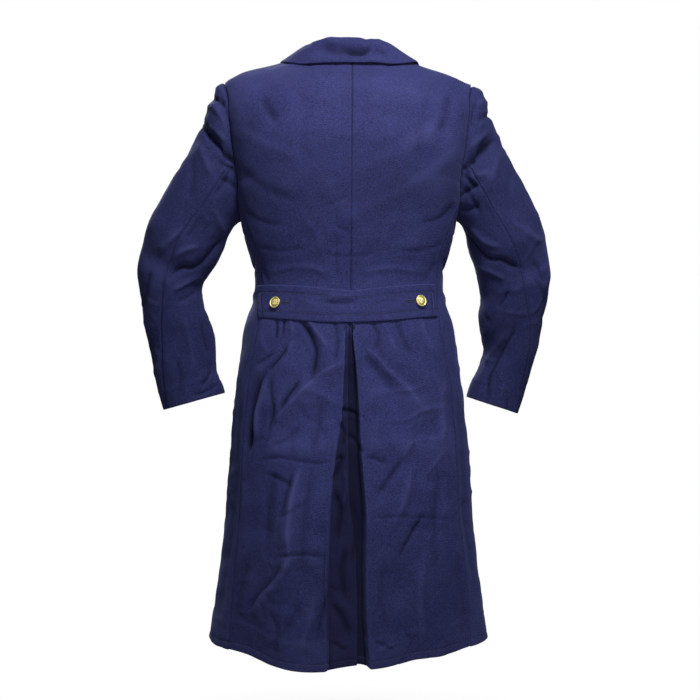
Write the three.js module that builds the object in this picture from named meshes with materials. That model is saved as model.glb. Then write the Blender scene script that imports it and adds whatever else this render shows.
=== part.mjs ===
// A navy wool greatcoat, filled out as if worn, with nobody in it.
// Millimetres, +Z up. The back of the coat faces +Y, the wearer's left is +X.
// The origin is the middle of the neck opening, where the wearer's neck and shoulders carry the coat.
import * as THREE from "three";

// ---- Driving dimensions ----
const CLOTH = 2.5; // thickness of the wool wall
const SEAM_GAP = 0.3; // clear gap between pieces that are sewn together
const ARMPIT_Z = -315; // height of the underarm, below the nape
const HEM_Z = -1122; // height of the hem
const HEM_DROP_BACK = 8; // how much lower the hem hangs at the centre back
const SHOULDER_Y = -5; // the shoulder seam lies a little forward of the middle
const SHOULDER_ROUND = 0.36; // share of the upper body over which the shoulders round off
const SEAM_LEVEL = 0.76; // where the side-back seam meets the armhole, 0 shoulder to 1 underarm
const OVERLAP_TOP = 92; // how far the left front laps past the centre front
const OVERLAP_UNDER = 84; // how far the right front runs on beneath the left one
const OVERLAP_LIFT = 5; // how far the left front stands off over the right one
const BREAK_Z = -235; // where the lapels stop folding back
const NECK_X = 75; // half width of the neck opening
const NECK_Z = 8; // height of the shoulder seam at the neck
const BUTTON_DIAMETER = 21.5;
const DEGREE = Math.PI / 180;

// ---- Tables ----
// A table gives named columns that run smoothly from row to row, read at any value of the first one.
function table(names, rows) {
  const key = rows.map((row) => row[0]);
  const slope = (column, k) => {
    const before = Math.max(k - 1, 0);
    const after = Math.min(k + 1, rows.length - 1);
    return (rows[after][column] - rows[before][column]) / (key[after] - key[before]);
  };
  const read = (column, at) => {
    const rising = key[1] > key[0] ? 1 : -1;
    let k = 0;
    while (k < rows.length - 2 && (at - key[k + 1]) * rising > 0) k += 1;
    const span = key[k + 1] - key[k];
    const t = THREE.MathUtils.clamp((at - key[k]) / span, 0, 1);
    const from = rows[k][column];
    const to = rows[k + 1][column];
    const bend = t * (1 - t) * span;
    return (
      from + (to - from) * t * t * (3 - 2 * t) +
      bend * ((1 - t) * slope(column, k) - t * slope(column, k + 1))
    );
  };
  const columns = {};
  names.forEach((name, column) => {
    if (column > 0) columns[name] = (at) => read(column, at);
  });
  return columns;
}

const lerp = THREE.MathUtils.lerp;
const smooth = (value, low, high) => THREE.MathUtils.smoothstep(value, low, high);

// The trunk: half width, depth behind and before the middle, and how square the section is.
const trunk = table(["z", "halfWidth", "back", "front", "squareness"], [
  [20, 246, 60, 60, 3],
  [-10, 246, 64, 72, 3],
  [-30, 246, 86, 84, 3],
  [-60, 244, 108, 98, 3.1],
  [-110, 238, 130, 117, 3.2],
  [-180, 231, 146, 136, 3.1],
  [-250, 219, 150, 144, 2.9],
  [-315, 206, 147, 144, 2.6],
  [-372, 194, 138, 139, 2.4],
  [-411, 184, 131, 133, 2.3],
  [-440, 181, 127, 130, 2.3],
  [-470, 184, 129, 131, 2.3],
  [-508, 198, 137, 136, 2.3],
  [-546, 206, 147, 142, 2.25],
  [-600, 214, 160, 150, 2.2],
  [-662, 222, 169, 156, 2.2],
  [-739, 229, 178, 162, 2.2],
  [-816, 234, 184, 168, 2.2],
  [-893, 238, 189, 174, 2.2],
  [-970, 246, 194, 180, 2.2],
  [-1048, 256, 200, 186, 2.2],
  [-1140, 269, 206, 193, 2.2],
]);

// Where the armhole seam lies sideways at each height, and where the side-back seam lies below it.
const armholeSeam = table(["z", "x"], [
  [-50, 240], [-70, 234], [-90, 229], [-120, 227], [-150, 223], [-181, 219], [-205, 216],
  [-230, 212], [-260, 209], [-290, 207], [-320, 206],
]);
const sideBackSeam = table(["z", "x"], [
  [-252, 207], [-285, 198], [-320, 186], [-372, 172], [-436, 164], [-480, 166], [-527, 171],
  [-580, 180], [-650, 189], [-740, 197], [-855, 202], [-966, 212], [-1048, 218], [-1140, 223],
]);
const shoulderLine = table(["x", "z"], [
  [0, -10], [25, -9], [50, -3], [75, 8], [105, -2], [135, -13], [165, -21], [197, -30],
  [216, -38], [241, -50],
]);
const neckDepth = table(["x", "y"], [[0, 62], [25, 59], [50, 46], [66, 26], [75, 0]]);

// The vent below the half belt: fold edges and free edges of the two back panels, and how far each
// extension lies behind its fold.
const vent = table(
  ["z", "foldLeft", "freeLeft", "setLeft", "foldRight", "freeRight", "setRight"],
  [
    [0, -0.7, -6.55, 0, -12.7, -6.85, 0],
    [-250, 1.2, -4.65, 0, -10.8, -4.95, 0],
    [-470, 2.9, -2.95, 0, -9.1, -3.25, 0],
    [-500, 3.3, -2.55, 0, -8.7, -2.85, 0],
    [-540, 7, 0.6, 2, -8, -0.6, 7],
    [-575, 8, 1.5, 5, -12, -2, 14],
    [-620, 10, 1.5, 8, -16, 4, 19],
    [-690, 15, 1.5, 9, -20, 20, 21],
    [-760, 26, 1, 9, -24, 28, 21],
    [-840, 35, -2, 9, -31, 32, 21],
    [-890, 38, -8, 9, -32, 34, 22],
    [-970, 42, -13, 9, -31, 34, 22],
    [-1050, 43, -15, 9, -33, 34, 22],
    [-1140, 43, -14, 9, -41, 34, 22],
  ],
);

// How far the hem hangs above its even curve (below it where minus), by distance from the middle.
const hemHang = {
  left: table(["x", "z"], [
    [-20, 9], [15, 4], [45, -2], [90, -4], [135, 2], [185, 14], [240, 13], [300, 6],
  ]),
  right: table(["x", "z"], [
    [-45, 8], [20, 7], [38, 3], [75, 7], [117, 15], [165, 16], [220, 20], [300, 14],
  ]),
};
const HANG_LEVEL = 1.55; // the hem's unevenness dies out above this level

// The largest soft folds of the body: a line from (x1, z1) to (x2, z2) on the back (or the front,
// where face is -1), how far to each side it reaches, and its height: minus for a trough.
const bodyFolds = [
  ["face", "x1", "z1", "x2", "z2", "reach", "height"],
  [1, 2, -575, 130, -660, 24, 5],
  [1, 130, -660, 150, -780, 30, 4],
  [1, 90, -548, 68, -610, 20, -6],
  [1, 90, -850, 122, -1080, 30, 6],
  [1, 60, -900, 78, -1100, 24, -5],
  [1, 165, -900, 190, -1100, 30, -5],
  [1, -28, -570, -145, -700, 26, -6],
  [1, -60, -560, -170, -640, 22, 4],
  [1, -95, -800, -50, -880, 26, 4],
  [1, -140, -900, -95, -1000, 28, -5],
  [1, -150, -1000, -165, -1120, 30, 5],
  [1, 165, -70, 140, -130, 24, -4],
  [1, -185, -70, -170, -150, 24, -4],
  [1, 40, -275, 0, -330, 18, 3],
  [-1, 110, -620, 130, -900, 34, 6],
  [-1, 150, -700, 190, -1080, 30, -6],
  [-1, -120, -640, -140, -920, 34, 6],
  [-1, -160, -720, -200, -1090, 30, -6],
];

// ---- Points on the body ----
const named = (rows) => {
  const [names, ...values] = rows;
  return values.map((row) => Object.fromEntries(names.map((name, k) => [name, row[k]])));
};
const folds = named(bodyFolds);

function foldHeight(x, z, face) {
  let height = 0;
  for (const fold of folds) {
    if (fold.face !== face) continue;
    const alongX = fold.x2 - fold.x1;
    const alongZ = fold.z2 - fold.z1;
    const t = THREE.MathUtils.clamp(
      ((x - fold.x1) * alongX + (z - fold.z1) * alongZ) / (alongX ** 2 + alongZ ** 2), 0, 1,
    );
    const away = Math.hypot(x - fold.x1 - alongX * t, z - fold.z1 - alongZ * t) / fold.reach;
    height += fold.height * Math.exp(-away * away);
  }
  return height;
}

function trunkRadius(angle, z) {
  const depth = Math.cos(angle) > 0 ? trunk.back(z) : trunk.front(z);
  const power = trunk.squareness(z);
  const across = Math.abs(Math.sin(angle)) / trunk.halfWidth(z);
  const along = Math.abs(Math.cos(angle)) / depth;
  return (across ** power + along ** power) ** (-1 / power);
}

// The angle round the trunk, from the centre back, at which the section passes over x.
function angleAt(x, z, face) {
  const power = trunk.squareness(z);
  const depth = face > 0 ? trunk.back(z) : trunk.front(z);
  const rest = Math.max(1 - Math.abs(x / trunk.halfWidth(z)) ** power, 1e-6);
  const angle = Math.atan2(Math.abs(x), depth * rest ** (1 / power));
  return face > 0 ? angle * Math.sign(x || 1) : Math.PI - angle * Math.sign(x || 1);
}

// The armhole is an upright oval, from the shoulder tip (0) through the back (90) to the underarm.
const ARMHOLE_Y = -5;
const ARMHOLE_BACK = 70;
const ARMHOLE_FRONT = 66;
function armholePoint(side, angle) {
  const middle = (side.tipZ + ARMPIT_Z) / 2;
  const z = middle + ((side.tipZ - ARMPIT_Z) / 2) * Math.cos(angle);
  const reach = Math.sin(angle) > 0 ? ARMHOLE_BACK : ARMHOLE_FRONT;
  const x = armholeSeam.x(z) + (side.tipX - armholeSeam.x(side.tipZ)) * smooth(z, -120, side.tipZ);
  return new THREE.Vector3(x, ARMHOLE_Y + reach * Math.sin(angle), z);
}
function armholeAngleAt(side, z) {
  const middle = (side.tipZ + ARMPIT_Z) / 2;
  return Math.acos(THREE.MathUtils.clamp((z - middle) / ((side.tipZ - ARMPIT_Z) / 2), -1, 1));
}

const sides = {
  left: { name: "left", sign: 1, tipX: 240, tipZ: -50, overlap: OVERLAP_TOP },
  right: { name: "right", sign: -1, tipX: 236, tipZ: -56, overlap: OVERLAP_UNDER },
};

const roundOff = (t) => Math.sqrt(1 - (1 - Math.min(t, 1)) ** 2);
const topZ = (side, x) => shoulderLine.z(x) + (side.tipZ + 50) * smooth(x, NECK_X, side.tipX);
const seamYAt = (side, x) => (SHOULDER_Y * (x - NECK_X)) / (side.tipX - NECK_X);
const hemZ = (angle) => HEM_Z - HEM_DROP_BACK * Math.max(Math.cos(angle), 0);

// level runs 0 at the shoulder and neck, 1 at the underarm, 2 at the hem.
function heightAt(level, top, angle) {
  if (level <= 1) return lerp(top, ARMPIT_Z, level);
  return lerp(ARMPIT_Z, hemZ(angle), level - 1);
}

// A point on the trunk at an angle and a height. Above the underarm the shoulder rounds off from
// its seam, which lies at seamY.
function trunkPoint(side, angle, z, level, seamY) {
  const radius = trunkRadius(angle, z);
  const face = Math.cos(angle) > 0 ? 1 : -1;
  const x = radius * Math.sin(angle);
  const lift = foldHeight(x * side.sign, z, face);
  let y = (radius + lift) * Math.cos(angle);
  y = seamY + (y - seamY) * roundOff(level / SHOULDER_ROUND);
  return new THREE.Vector3((radius + lift) * Math.sin(angle), y, z);
}

// A point moved round the body by a distance, towards the front.
const SEAM_RADIUS = 200;
const UNDERARM_EASE = 4; // the seam gap widens this many times where the walls lean apart
const PULL_END = 1.13; // the level where a side edge no longer follows the armhole
const TURN_FROM = 0.4; // the level from which a panel's columns run by angle, not sideways
const EASE_FROM = 0.45; // the share of a panel from which it is drawn towards the armhole
function turned(point, distance) {
  const turn = distance / SEAM_RADIUS;
  return new THREE.Vector3(point.x + point.y * turn, point.y - point.x * turn, point.z);
}

// The side edge of a panel, behind (face 1) or before (face -1) the arm: the armhole down to where
// the side-back seam joins it, and that seam below. pull says how far the edge holds to the target.
function sideEdge(side, level, face, gap) {
  const z = heightAt(level, side.tipZ, 1);
  const joinZ = lerp(side.tipZ, ARMPIT_Z, SEAM_LEVEL);
  const round = armholeAngleAt(side, Math.max(z, joinZ));
  const pull = 1 - smooth(level, SEAM_LEVEL, PULL_END);
  const clear = gap * (1 + (UNDERARM_EASE - 1) * pull);
  const target = turned(armholePoint(side, face > 0 ? round : 2 * Math.PI - round), clear);
  const seam = angleAt(sideBackSeam.x(z), z, 1);
  const angle = lerp(seam + clear / SEAM_RADIUS, Math.atan2(target.x, target.y), pull);
  return { z, joinZ, target, pull, angle };
}

// ---- Cloth walls ----
// surface(across, down) gives the outer points of a piece for across and down from 0 to 1; the wall
// is that surface and a second one CLOTH behind it, closed along every edge. keep(i, j) leaves out
// cells, so that a piece may have an L-shaped outline.
function clothWall(surface, acrossAt, downAt, facing, thickness = CLOTH, keep = () => true) {
  const columns = acrossAt.length;
  const positions = [];
  const used = new Map();
  const step = 1e-4;
  const corner = (i, j) => {
    const key = i * columns + j;
    if (used.has(key)) return used.get(key);
    const across = acrossAt[j];
    const down = downAt[i];
    const at = surface(across, down);
    const acrossStep = across > 0.5 ? -step : step;
    const downStep = down > 0.5 ? -step : step;
    const alongAcross = surface(across + acrossStep, down).sub(at).multiplyScalar(acrossStep);
    const alongDown = surface(across, down + downStep).sub(at).multiplyScalar(downStep);
    const normal = alongAcross.cross(alongDown).normalize().multiplyScalar(facing * thickness);
    const back = at.clone().sub(normal);
    const index = positions.length / 3;
    positions.push(at.x, at.y, at.z, back.x, back.y, back.z);
    used.set(key, index);
    return index;
  };
  const triangles = [];
  const quad = (a, b, c, d) => triangles.push(a, b, c, a, c, d);
  const cells = (i, j) =>
    i >= 0 && j >= 0 && i < downAt.length - 1 && j < columns - 1 && keep(i, j);
  for (let i = 0; i < downAt.length - 1; i += 1) {
    for (let j = 0; j < columns - 1; j += 1) {
      if (!cells(i, j)) continue;
      const [a, b, c, d] = [corner(i, j), corner(i, j + 1), corner(i + 1, j + 1), corner(i + 1, j)];
      quad(a, d, c, b);
      quad(a + 1, b + 1, c + 1, d + 1);
      if (!cells(i - 1, j)) quad(a, b, b + 1, a + 1);
      if (!cells(i + 1, j)) quad(c, d, d + 1, c + 1);
      if (!cells(i, j - 1)) quad(d, a, a + 1, d + 1);
      if (!cells(i, j + 1)) quad(b, c, c + 1, b + 1);
    }
  }
  const geometry = new THREE.BufferGeometry();
  geometry.setAttribute("position", new THREE.Float32BufferAttribute(positions, 3));
  geometry.setIndex(volumeOf(positions, triangles) > 0 ? triangles : reversed(triangles));
  geometry.computeVertexNormals();
  return geometry;
}

function volumeOf(positions, triangles) {
  const at = (k) => new THREE.Vector3().fromArray(positions, triangles[k] * 3);
  let volume = 0;
  for (let k = 0; k < triangles.length; k += 3) volume += at(k).dot(at(k + 1).cross(at(k + 2)));
  return volume / 6;
}

const reversed = (triangles) =>
  triangles.map((index, k) => (k % 3 === 1 ? triangles[k + 1] : k % 3 === 2 ? triangles[k - 1] : index));

const evenSteps = (count) => Array.from({ length: count + 1 }, (_, k) => k / count);

// Rows of the body, as levels: close together on the shoulder, the waist and the top of the vent.
const upperLevels = [0, 0.03, 0.08, 0.15, 0.25, 0.37, 0.5, 0.63, SEAM_LEVEL];
const lowerLevels = [
  0.86, 1, 1.05, 1.1, 1.14, 1.165, 1.19, 1.215, 1.24, 1.27, 1.32, 1.38, 1.45, 1.53, 1.61, 1.7, 1.8,
  1.9, 2,
];
const bodyLevels = [...upperLevels, ...lowerLevels];
const seamRow = upperLevels.length - 1;
const bodyDown = bodyLevels.map((level) => level / 2);

// ---- Back panels ----
// across 0 to VENT_SHARE is the vent extension (6 mm of seam allowance above it), the rest the panel.
const VENT_SHARE = 0.25;
const FOLD_STEP = 0.24; // the share of an extension over which it steps in behind its fold
const SIDE_TURN = 1.2; // about how far round, in radians, a back panel's side edge lies
const ventAcross = [0, 0.11, 0.19, VENT_SHARE];
const panelAcross = [0.08, 0.2, 0.33, 0.47, 0.61, 0.75, 0.88, 1];
const backAcross = [...ventAcross, ...panelAcross.map((s) => lerp(VENT_SHARE, 1, s))];

function backPoint(side, across, down) {
  const level = THREE.MathUtils.clamp(down * 2, 0, 2);
  const share = across < VENT_SHARE ? 0 : (across - VENT_SHARE) / (1 - VENT_SHARE);
  const toFold = THREE.MathUtils.clamp(across / VENT_SHARE, 0, 1);
  const hand = side.sign > 0 ? "Left" : "Right";
  const centreZ = heightAt(level, shoulderLine.z(0), 0);
  const foldX = side.sign * vent[`fold${hand}`](centreZ);
  const freeX = side.sign * vent[`free${hand}`](centreZ);
  const topX = share > 0 ? lerp(foldX, side.tipX, share) : lerp(freeX, foldX, toFold);
  const z = heightAt(level, topZ(side, Math.abs(topX)), share * SIDE_TURN);
  const seamY = topX < NECK_X ? neckDepth.y(Math.abs(topX)) : seamYAt(side, topX);
  const edge = sideEdge(side, level, 1, -SEAM_GAP / 2);
  const byX = angleAt(share > 0 ? lerp(foldX, edge.target.x, share) : topX, z, 1);
  const byAngle = lerp(angleAt(foldX, z, 1), edge.angle, share);
  const angle = share > 0 ? lerp(byX, byAngle, smooth(level, TURN_FROM, 1)) : byX;
  const point = trunkPoint(side, angle, z, level, seamY + SEAM_GAP / 2);
  point.y -= vent[`set${hand}`](z) * smooth(1 - toFold, 0, FOLD_STEP);
  const rimAngle = lerp(angleAt(edge.target.x, edge.z, 1), edge.angle, smooth(level, TURN_FROM, 1));
  const rim = trunkPoint(side, rimAngle, edge.z, level, SHOULDER_Y + SEAM_GAP / 2);
  const ease = smooth(share, EASE_FROM, 1) * edge.pull;
  point.x += (edge.target.x - rim.x) * ease;
  point.y += (edge.target.y + (SEAM_GAP / 2) * (level < 0.01 ? 1 : 0) - rim.y) * ease;
  point.z += hemHang[side.name].z(point.x) * smooth(level, HANG_LEVEL, 2);
  point.x *= side.sign;
  return point;
}

// ---- Front panels ----
// across 0 is the front edge and the lapel's roll line, FRONT_SHARE the column below the front of
// the armhole, 1 the side-back seam. Cells above SEAM_LEVEL end at the armhole.
const FRONT_SHARE = 0.72;
const UNDERARM_STEPS = 6;
const UNDERARM_END = 1.25; // the level where the underarm's hollow has run out
const frontAcross = [
  ...[0, 0.06, 0.15, 0.25, 0.37, 0.5, 0.63, 0.76, 0.88, 1].map((s) => s * FRONT_SHARE),
  ...evenSteps(UNDERARM_STEPS).slice(1).map((s) => lerp(FRONT_SHARE, 1, s)),
];
const armholeColumn = 9;

// The left front stands off over the right one, and comes down to it between these places.
const LIFT_END_X = [104, 154];
const LIFT_END_Z = [-95, -40];
function overlapLift(side, x, z, y) {
  if (side.name !== "left" || y > 0) return 0;
  return OVERLAP_LIFT * (1 - smooth(x, ...LIFT_END_X)) * (1 - smooth(z, ...LIFT_END_Z));
}

function frontEdgeX(side, z) {
  const t = THREE.MathUtils.clamp((NECK_Z - z) / (NECK_Z - BREAK_Z), 0, 1);
  return lerp(NECK_X, -side.overlap, t);
}

function frontPoint(side, across, down) {
  const level = THREE.MathUtils.clamp(down * 2, 0, 2);
  const share = Math.min(across / FRONT_SHARE, 1);
  const underarm = THREE.MathUtils.clamp((across - FRONT_SHARE) / (1 - FRONT_SHARE), 0, 1);
  const topX = lerp(NECK_X, side.tipX, share);
  const frontZ = heightAt(level, NECK_Z, Math.PI);
  const edge = sideEdge(side, level, -1, 0);
  const columnAngle = Math.atan2(edge.target.x, edge.target.y);
  const edgeX = frontEdgeX(side, frontZ);
  let z = heightAt(level, topZ(side, topX), Math.PI * (1 - share / 2));
  const turn = smooth(level, TURN_FROM, 1);
  let angle = lerp(
    angleAt(lerp(edgeX, edge.target.x, share), z, -1),
    lerp(angleAt(edgeX, frontZ, -1), columnAngle, share),
    turn,
  );
  let rimAngle = lerp(angleAt(edge.target.x, edge.z, -1), columnAngle, turn);
  let rimZ = edge.z;
  let target = edge.target;
  if (underarm > 0) {
    const behind = sideEdge(side, level, 1, SEAM_GAP / 2);
    const join = armholeAngleAt(side, edge.joinZ);
    target = turned(
      armholePoint(side, lerp(2 * Math.PI - join, join, underarm)),
      (SEAM_GAP / 2) * UNDERARM_EASE * underarm,
    );
    angle = lerp(columnAngle, behind.angle, underarm);
    z = edge.z + (target.z - edge.joinZ) * (1 - smooth(level, SEAM_LEVEL, UNDERARM_END));
    rimAngle = angle;
    rimZ = z;
  }
  const point = trunkPoint(side, angle, z, level, seamYAt(side, topX) - SEAM_GAP / 2);
  point.y -= overlapLift(side, point.x, z, point.y);
  const rim = trunkPoint(side, rimAngle, rimZ, level, SHOULDER_Y - SEAM_GAP / 2);
  const ease = (underarm > 0 ? 1 : smooth(share, EASE_FROM, 1)) * edge.pull;
  point.x += (target.x - rim.x) * ease;
  point.y += (target.y - (SEAM_GAP / 2) * (level < 0.01 ? 1 : 0) - rim.y) * ease;
  point.z += hemHang[side.name].z(point.x) * smooth(level, HANG_LEVEL, 2);
  point.x *= side.sign;
  return point;
}

// ---- Sleeves ----
// Each ring runs from an outer point over the arm to an inner one beneath it, seen from behind.
// middleY and depth place and deepen it; hindSeam and foreSeam are the seams' angles in degrees
// round it, 0 outermost and 90 behind.
const ringNames = [
  "ring", "outerX", "outerZ", "innerX", "innerZ", "middleY", "depth", "hindSeam", "foreSeam",
];
const leftRings = table(ringNames, [
  [0, 241.3, -50.3, 206.3, -314.7, -5, 68, 105.1, 238.7],
  [1, 250, -52, 209, -317, -5, 71, 105, 238],
  [2, 257, -66, 213, -319.5, -5, 74, 105, 237],
  [3, 270, -96, 217.5, -323, -5, 76, 104.5, 236],
  [4, 291, -141, 222, -327, -6, 77, 103, 234],
  [5, 318, -196, 226, -333, -7, 77, 101, 232],
  [6, 345, -240, 230, -341, -9, 76, 99, 229],
  [7, 371, -289, 236, -353, -11, 74, 94, 227],
  [8, 392, -334, 243, -372, -14, 72, 89, 225],
  [9, 405, -378, 256, -397, -17, 70, 87, 223],
  [10, 409, -412, 272, -421, -20, 67, 85, 221],
  [11, 406, -448, 282, -447, -24, 63, 81, 219],
  [12, 402, -487, 278, -486, -31, 58, 73, 218],
  [13, 397, -527, 266, -530, -39, 54, 63, 217],
  [14, 391, -570, 261, -580, -48, 51, 56, 216],
  [15, 385, -612, 257, -610, -56, 49, 49, 215],
  [16, 377, -650, 250, -632, -63, 48, 41, 215],
  [17, 368, -684, 246, -650, -68, 47, 33, 215],
]);
const rightRings = table(ringNames, [
  [0, 237.3, -56.3, 206.3, -314.7, -5, 68, 105.1, 238.7],
  [1, 247, -57, 209, -317, -5, 71, 105, 238],
  [2, 259, -70, 212.5, -319.5, -5, 74, 105, 237],
  [3, 270, -104, 216, -323, -5, 76, 104.5, 236],
  [4, 287, -145, 219, -327, -6, 77, 103, 234],
  [5, 311, -196, 222, -334, -7, 77, 101, 232],
  [6, 334, -240, 225, -345, -9, 75, 99, 229],
  [7, 360, -293, 229, -362, -11, 73, 94, 227],
  [8, 376, -338, 236, -382, -14, 71, 90, 225],
  [9, 388, -380, 245, -408, -17, 69, 87, 223],
  [10, 393, -418, 250, -434, -20, 66, 84, 221],
  [11, 389, -452, 251, -460, -24, 62, 78, 219],
  [12, 383, -490, 252, -494, -31, 58, 68, 218],
  [13, 377, -527, 259, -530, -39, 54, 58, 217],
  [14, 368, -570, 264, -571, -48, 51, 50, 216],
  [15, 359, -606, 252, -604, -56, 49, 44, 215],
  [16, 349, -644, 240, -632, -63, 48, 38, 215],
  [17, 337, -692, 233, -658, -68, 47, 32, 215],
]);
const LAST_RING = 17;
const SEATED_RINGS = 2.2; // this many rings take up the armhole's shape
const FOLD_RADIUS = 65;
const CAP_CLEAR = 0.4; // how far outside the armhole's edge the sleeve's first ring stands

// The largest folds of the sleeves: the ring and angle they lie at, how far they reach along and
// round the sleeve, how much they climb from ring to ring as they go round, and their height.
const sleeveFolds = named([
  ["ring", "angle", "reachAlong", "reachRound", "climb", "height"],
  [3.6, 55, 0.7, 45, -0.012, -5],
  [9.6, 80, 0.8, 60, 0.012, -7],
  [7.9, 60, 0.7, 50, 0.01, 4],
  [11.2, 150, 0.7, 60, 0, -5],
  [10.4, 250, 0.8, 60, 0, -6],
  [12.6, 120, 0.8, 40, 0, 4],
  [14.6, 150, 0.7, 50, 0.01, -4],
]);

function sleevePoint(side, rings, ring, degrees) {
  const angle = degrees * DEGREE;
  const middleX = (rings.outerX(ring) + rings.innerX(ring)) / 2;
  const middleZ = (rings.outerZ(ring) + rings.innerZ(ring)) / 2;
  let swell = 0;
  for (const fold of sleeveFolds) {
    const round = ((((degrees - fold.angle) % 360) + 540) % 360) - 180;
    const along = (ring - fold.ring - fold.climb * round) / fold.reachAlong;
    swell += fold.height * Math.exp(-along * along - (round / fold.reachRound) ** 2);
  }
  swell *= smooth(ring, 1, 3);
  const grow = 1 + swell / FOLD_RADIUS;
  const cos = Math.cos(angle) * grow;
  const point = new THREE.Vector3(
    middleX + ((rings.outerX(ring) - rings.innerX(ring)) / 2) * cos,
    rings.middleY(ring) + rings.depth(ring) * Math.sin(angle) * grow,
    middleZ + ((rings.outerZ(ring) - rings.innerZ(ring)) / 2) * cos,
  );
  const seated = armholePoint(side, angle);
  const onSeam = new THREE.Vector3(
    seated.x + CAP_CLEAR,
    lerp(seated.y, ARMHOLE_Y, 0.006),
    lerp(seated.z, (side.tipZ + ARMPIT_Z) / 2, 0.003),
  );
  point.lerp(onSeam, (1 - Math.min(ring / SEATED_RINGS, 1)) ** 2);
  point.x *= side.sign;
  return point;
}

const sleeveRows = evenSteps(LAST_RING);
const sleeveGap = SEAM_GAP / 2 / FOLD_RADIUS / DEGREE; // half a seam gap as an angle round the sleeve

// Round the armhole the sleeve has a column for each row and column of the body, in degrees.
const armholeAngles = upperLevels.map((level) => Math.acos(1 - 2 * level) / DEGREE);
const joinDegrees = armholeAngles[seamRow];
const underarmAngles = evenSteps(UNDERARM_STEPS).map((t) => lerp(joinDegrees, 360 - joinDegrees, t));
const HIND_COLUMN = seamRow - 1; // the hind-arm seam meets the armhole here
const sleeveColumns = {
  top: [
    ...armholeAngles.slice(1).reverse().map((degrees) => -degrees),
    ...armholeAngles.slice(0, HIND_COLUMN + 1),
  ],
  under: [armholeAngles[HIND_COLUMN], ...underarmAngles],
};

function sleevePanel(side, rings, part) {
  const columns = sleeveColumns[part];
  const first = columns[0];
  const last = columns[columns.length - 1];
  const surface = (across, down) => {
    const ring = down * LAST_RING;
    const hind = rings.hindSeam(ring);
    const fore = rings.foreSeam(ring);
    const from = part === "top" ? fore - 360 + sleeveGap : hind + sleeveGap;
    const to = part === "top" ? hind - sleeveGap : fore - sleeveGap;
    return sleevePoint(side, rings, ring, lerp(from, to, across));
  };
  const acrossAt = columns.map((degrees) => (degrees - first) / (last - first));
  return clothWall(surface, acrossAt, sleeveRows, -side.sign);
}

// ---- Collar ----
// Stations run from the centre back to the collar's front end. The stand rises from the neck seam to
// the roll, and the fall turns down from it onto the coat.
const COLLAR_CLOTH = 3;
const collar = table(
  ["station", "seamX", "seamY", "seamZ", "rollX", "rollY", "rollZ", "edgeX", "edgeY", "edgeZ"],
  [
    [0, 0, 56, -7, 0, 61, 19, 0, 85, -29],
    [0.2, 28, 55, -4, 30, 57, 19, 38, 82, -29],
    [0.4, 54, 40, 0, 58, 42, 18.5, 82, 69, -27],
    [0.55, 69, 16, 8.5, 74, 17, 20, 118, 39, -15],
    [0.65, 72, -6, 12, 77, -6, 21.5, 133, 4, -6.8],
    [0.8, 69, -34, 1, 75, -38, 12, 140, -34, -19],
    [0.9, 62, -58, -21, 69, -62, -7, 141, -65, -42],
    [1, 51, -82, -46, 57, -88, -36, 134, -95, -74],
  ],
);
// The collar's swell between roll and edge: how far its fall stands up from a straight line.
const collarSwell = table(["station", "shoulder", "spread"], [
  [0, 1, 10], [0.3, 1, 9], [0.5, -1, 3], [0.65, -2, 0], [0.8, 0, 4], [1, 1, 8],
]);

const ROLL_ROUND = 10; // how far out the roll's crown runs before the fall turns down
const FALL_SWELL_AT = 0.45;
const FALL_SWELL_OUT = 5;
const STAND_MIDDLE = 0.55;

function collarPoint(station, across) {
  const side = Math.sign(station) || 1;
  const at = Math.abs(station);
  const point = (part) =>
    new THREE.Vector3(collar[`${part}X`](at), collar[`${part}Y`](at), collar[`${part}Z`](at));
  const seam = point("seam");
  const roll = point("roll");
  const edge = point("edge");
  const outward = edge.clone().sub(seam).setZ(0).normalize();
  const shoulder = roll.clone().addScaledVector(outward, ROLL_ROUND);
  shoulder.z += collarSwell.shoulder(at);
  const spread = roll.clone().lerp(edge, FALL_SWELL_AT).addScaledVector(outward, FALL_SWELL_OUT);
  spread.z += collarSwell.spread(at);
  const path = new THREE.CatmullRomCurve3([
    seam, seam.clone().lerp(roll, STAND_MIDDLE), roll, shoulder, spread, edge,
  ]);
  const result = path.getPoint(THREE.MathUtils.clamp(across, 0, 1));
  result.x *= side;
  return result;
}

function collarGeometry() {
  const stations = evenSteps(22).map((t) => lerp(-1, 1, t));
  const surface = (across, down) => {
    const station = lerp(-1, 1, across);
    return collarPoint(station, down);
  };
  return clothWall(surface, stations.map((s) => (s + 1) / 2), evenSteps(10), 1, COLLAR_CLOTH);
}

// ---- Pieces that lie on a panel ----
// A piece is a point of the back or the front moved out of the cloth.
function backAt(x, z, outward) {
  const angle = angleAt(x, z, 1);
  const radius = trunkRadius(angle, z) + foldHeight(x, z, 1) + outward;
  return new THREE.Vector3(radius * Math.sin(angle), radius * Math.cos(angle), z);
}

const BELT_CLOTH = 3;
const BELT_LIFT = 1.3;
const BELT_REACH = 181; // the ends of the belt as angles round a waist of this half width
const BELT_LEFT = 68;
const BELT_RIGHT = -62;
const BELT_SKEW = 4.8; // how much farther right the belt's bottom edge lies than its top edge
const beltEdges = table(["x", "topZ", "bottomZ"], [
  [-175, -441, -501], [-120, -444, -506], [-60, -450, -512], [0, -456, -514], [60, -450, -513],
  [120, -445, -508], [180, -443, -503],
]);

function beltGeometry() {
  const surface = (across, down) => {
    const turn = lerp(BELT_LEFT, BELT_RIGHT, across) * DEGREE;
    const x = BELT_REACH * Math.sin(turn) - BELT_SKEW * (down - 0.5);
    const z = lerp(beltEdges.topZ(x), beltEdges.bottomZ(x), down);
    return backAt(x, z, BELT_LIFT + BELT_CLOTH);
  };
  return clothWall(surface, evenSteps(22), evenSteps(3), -1, BELT_CLOTH);
}

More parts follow.
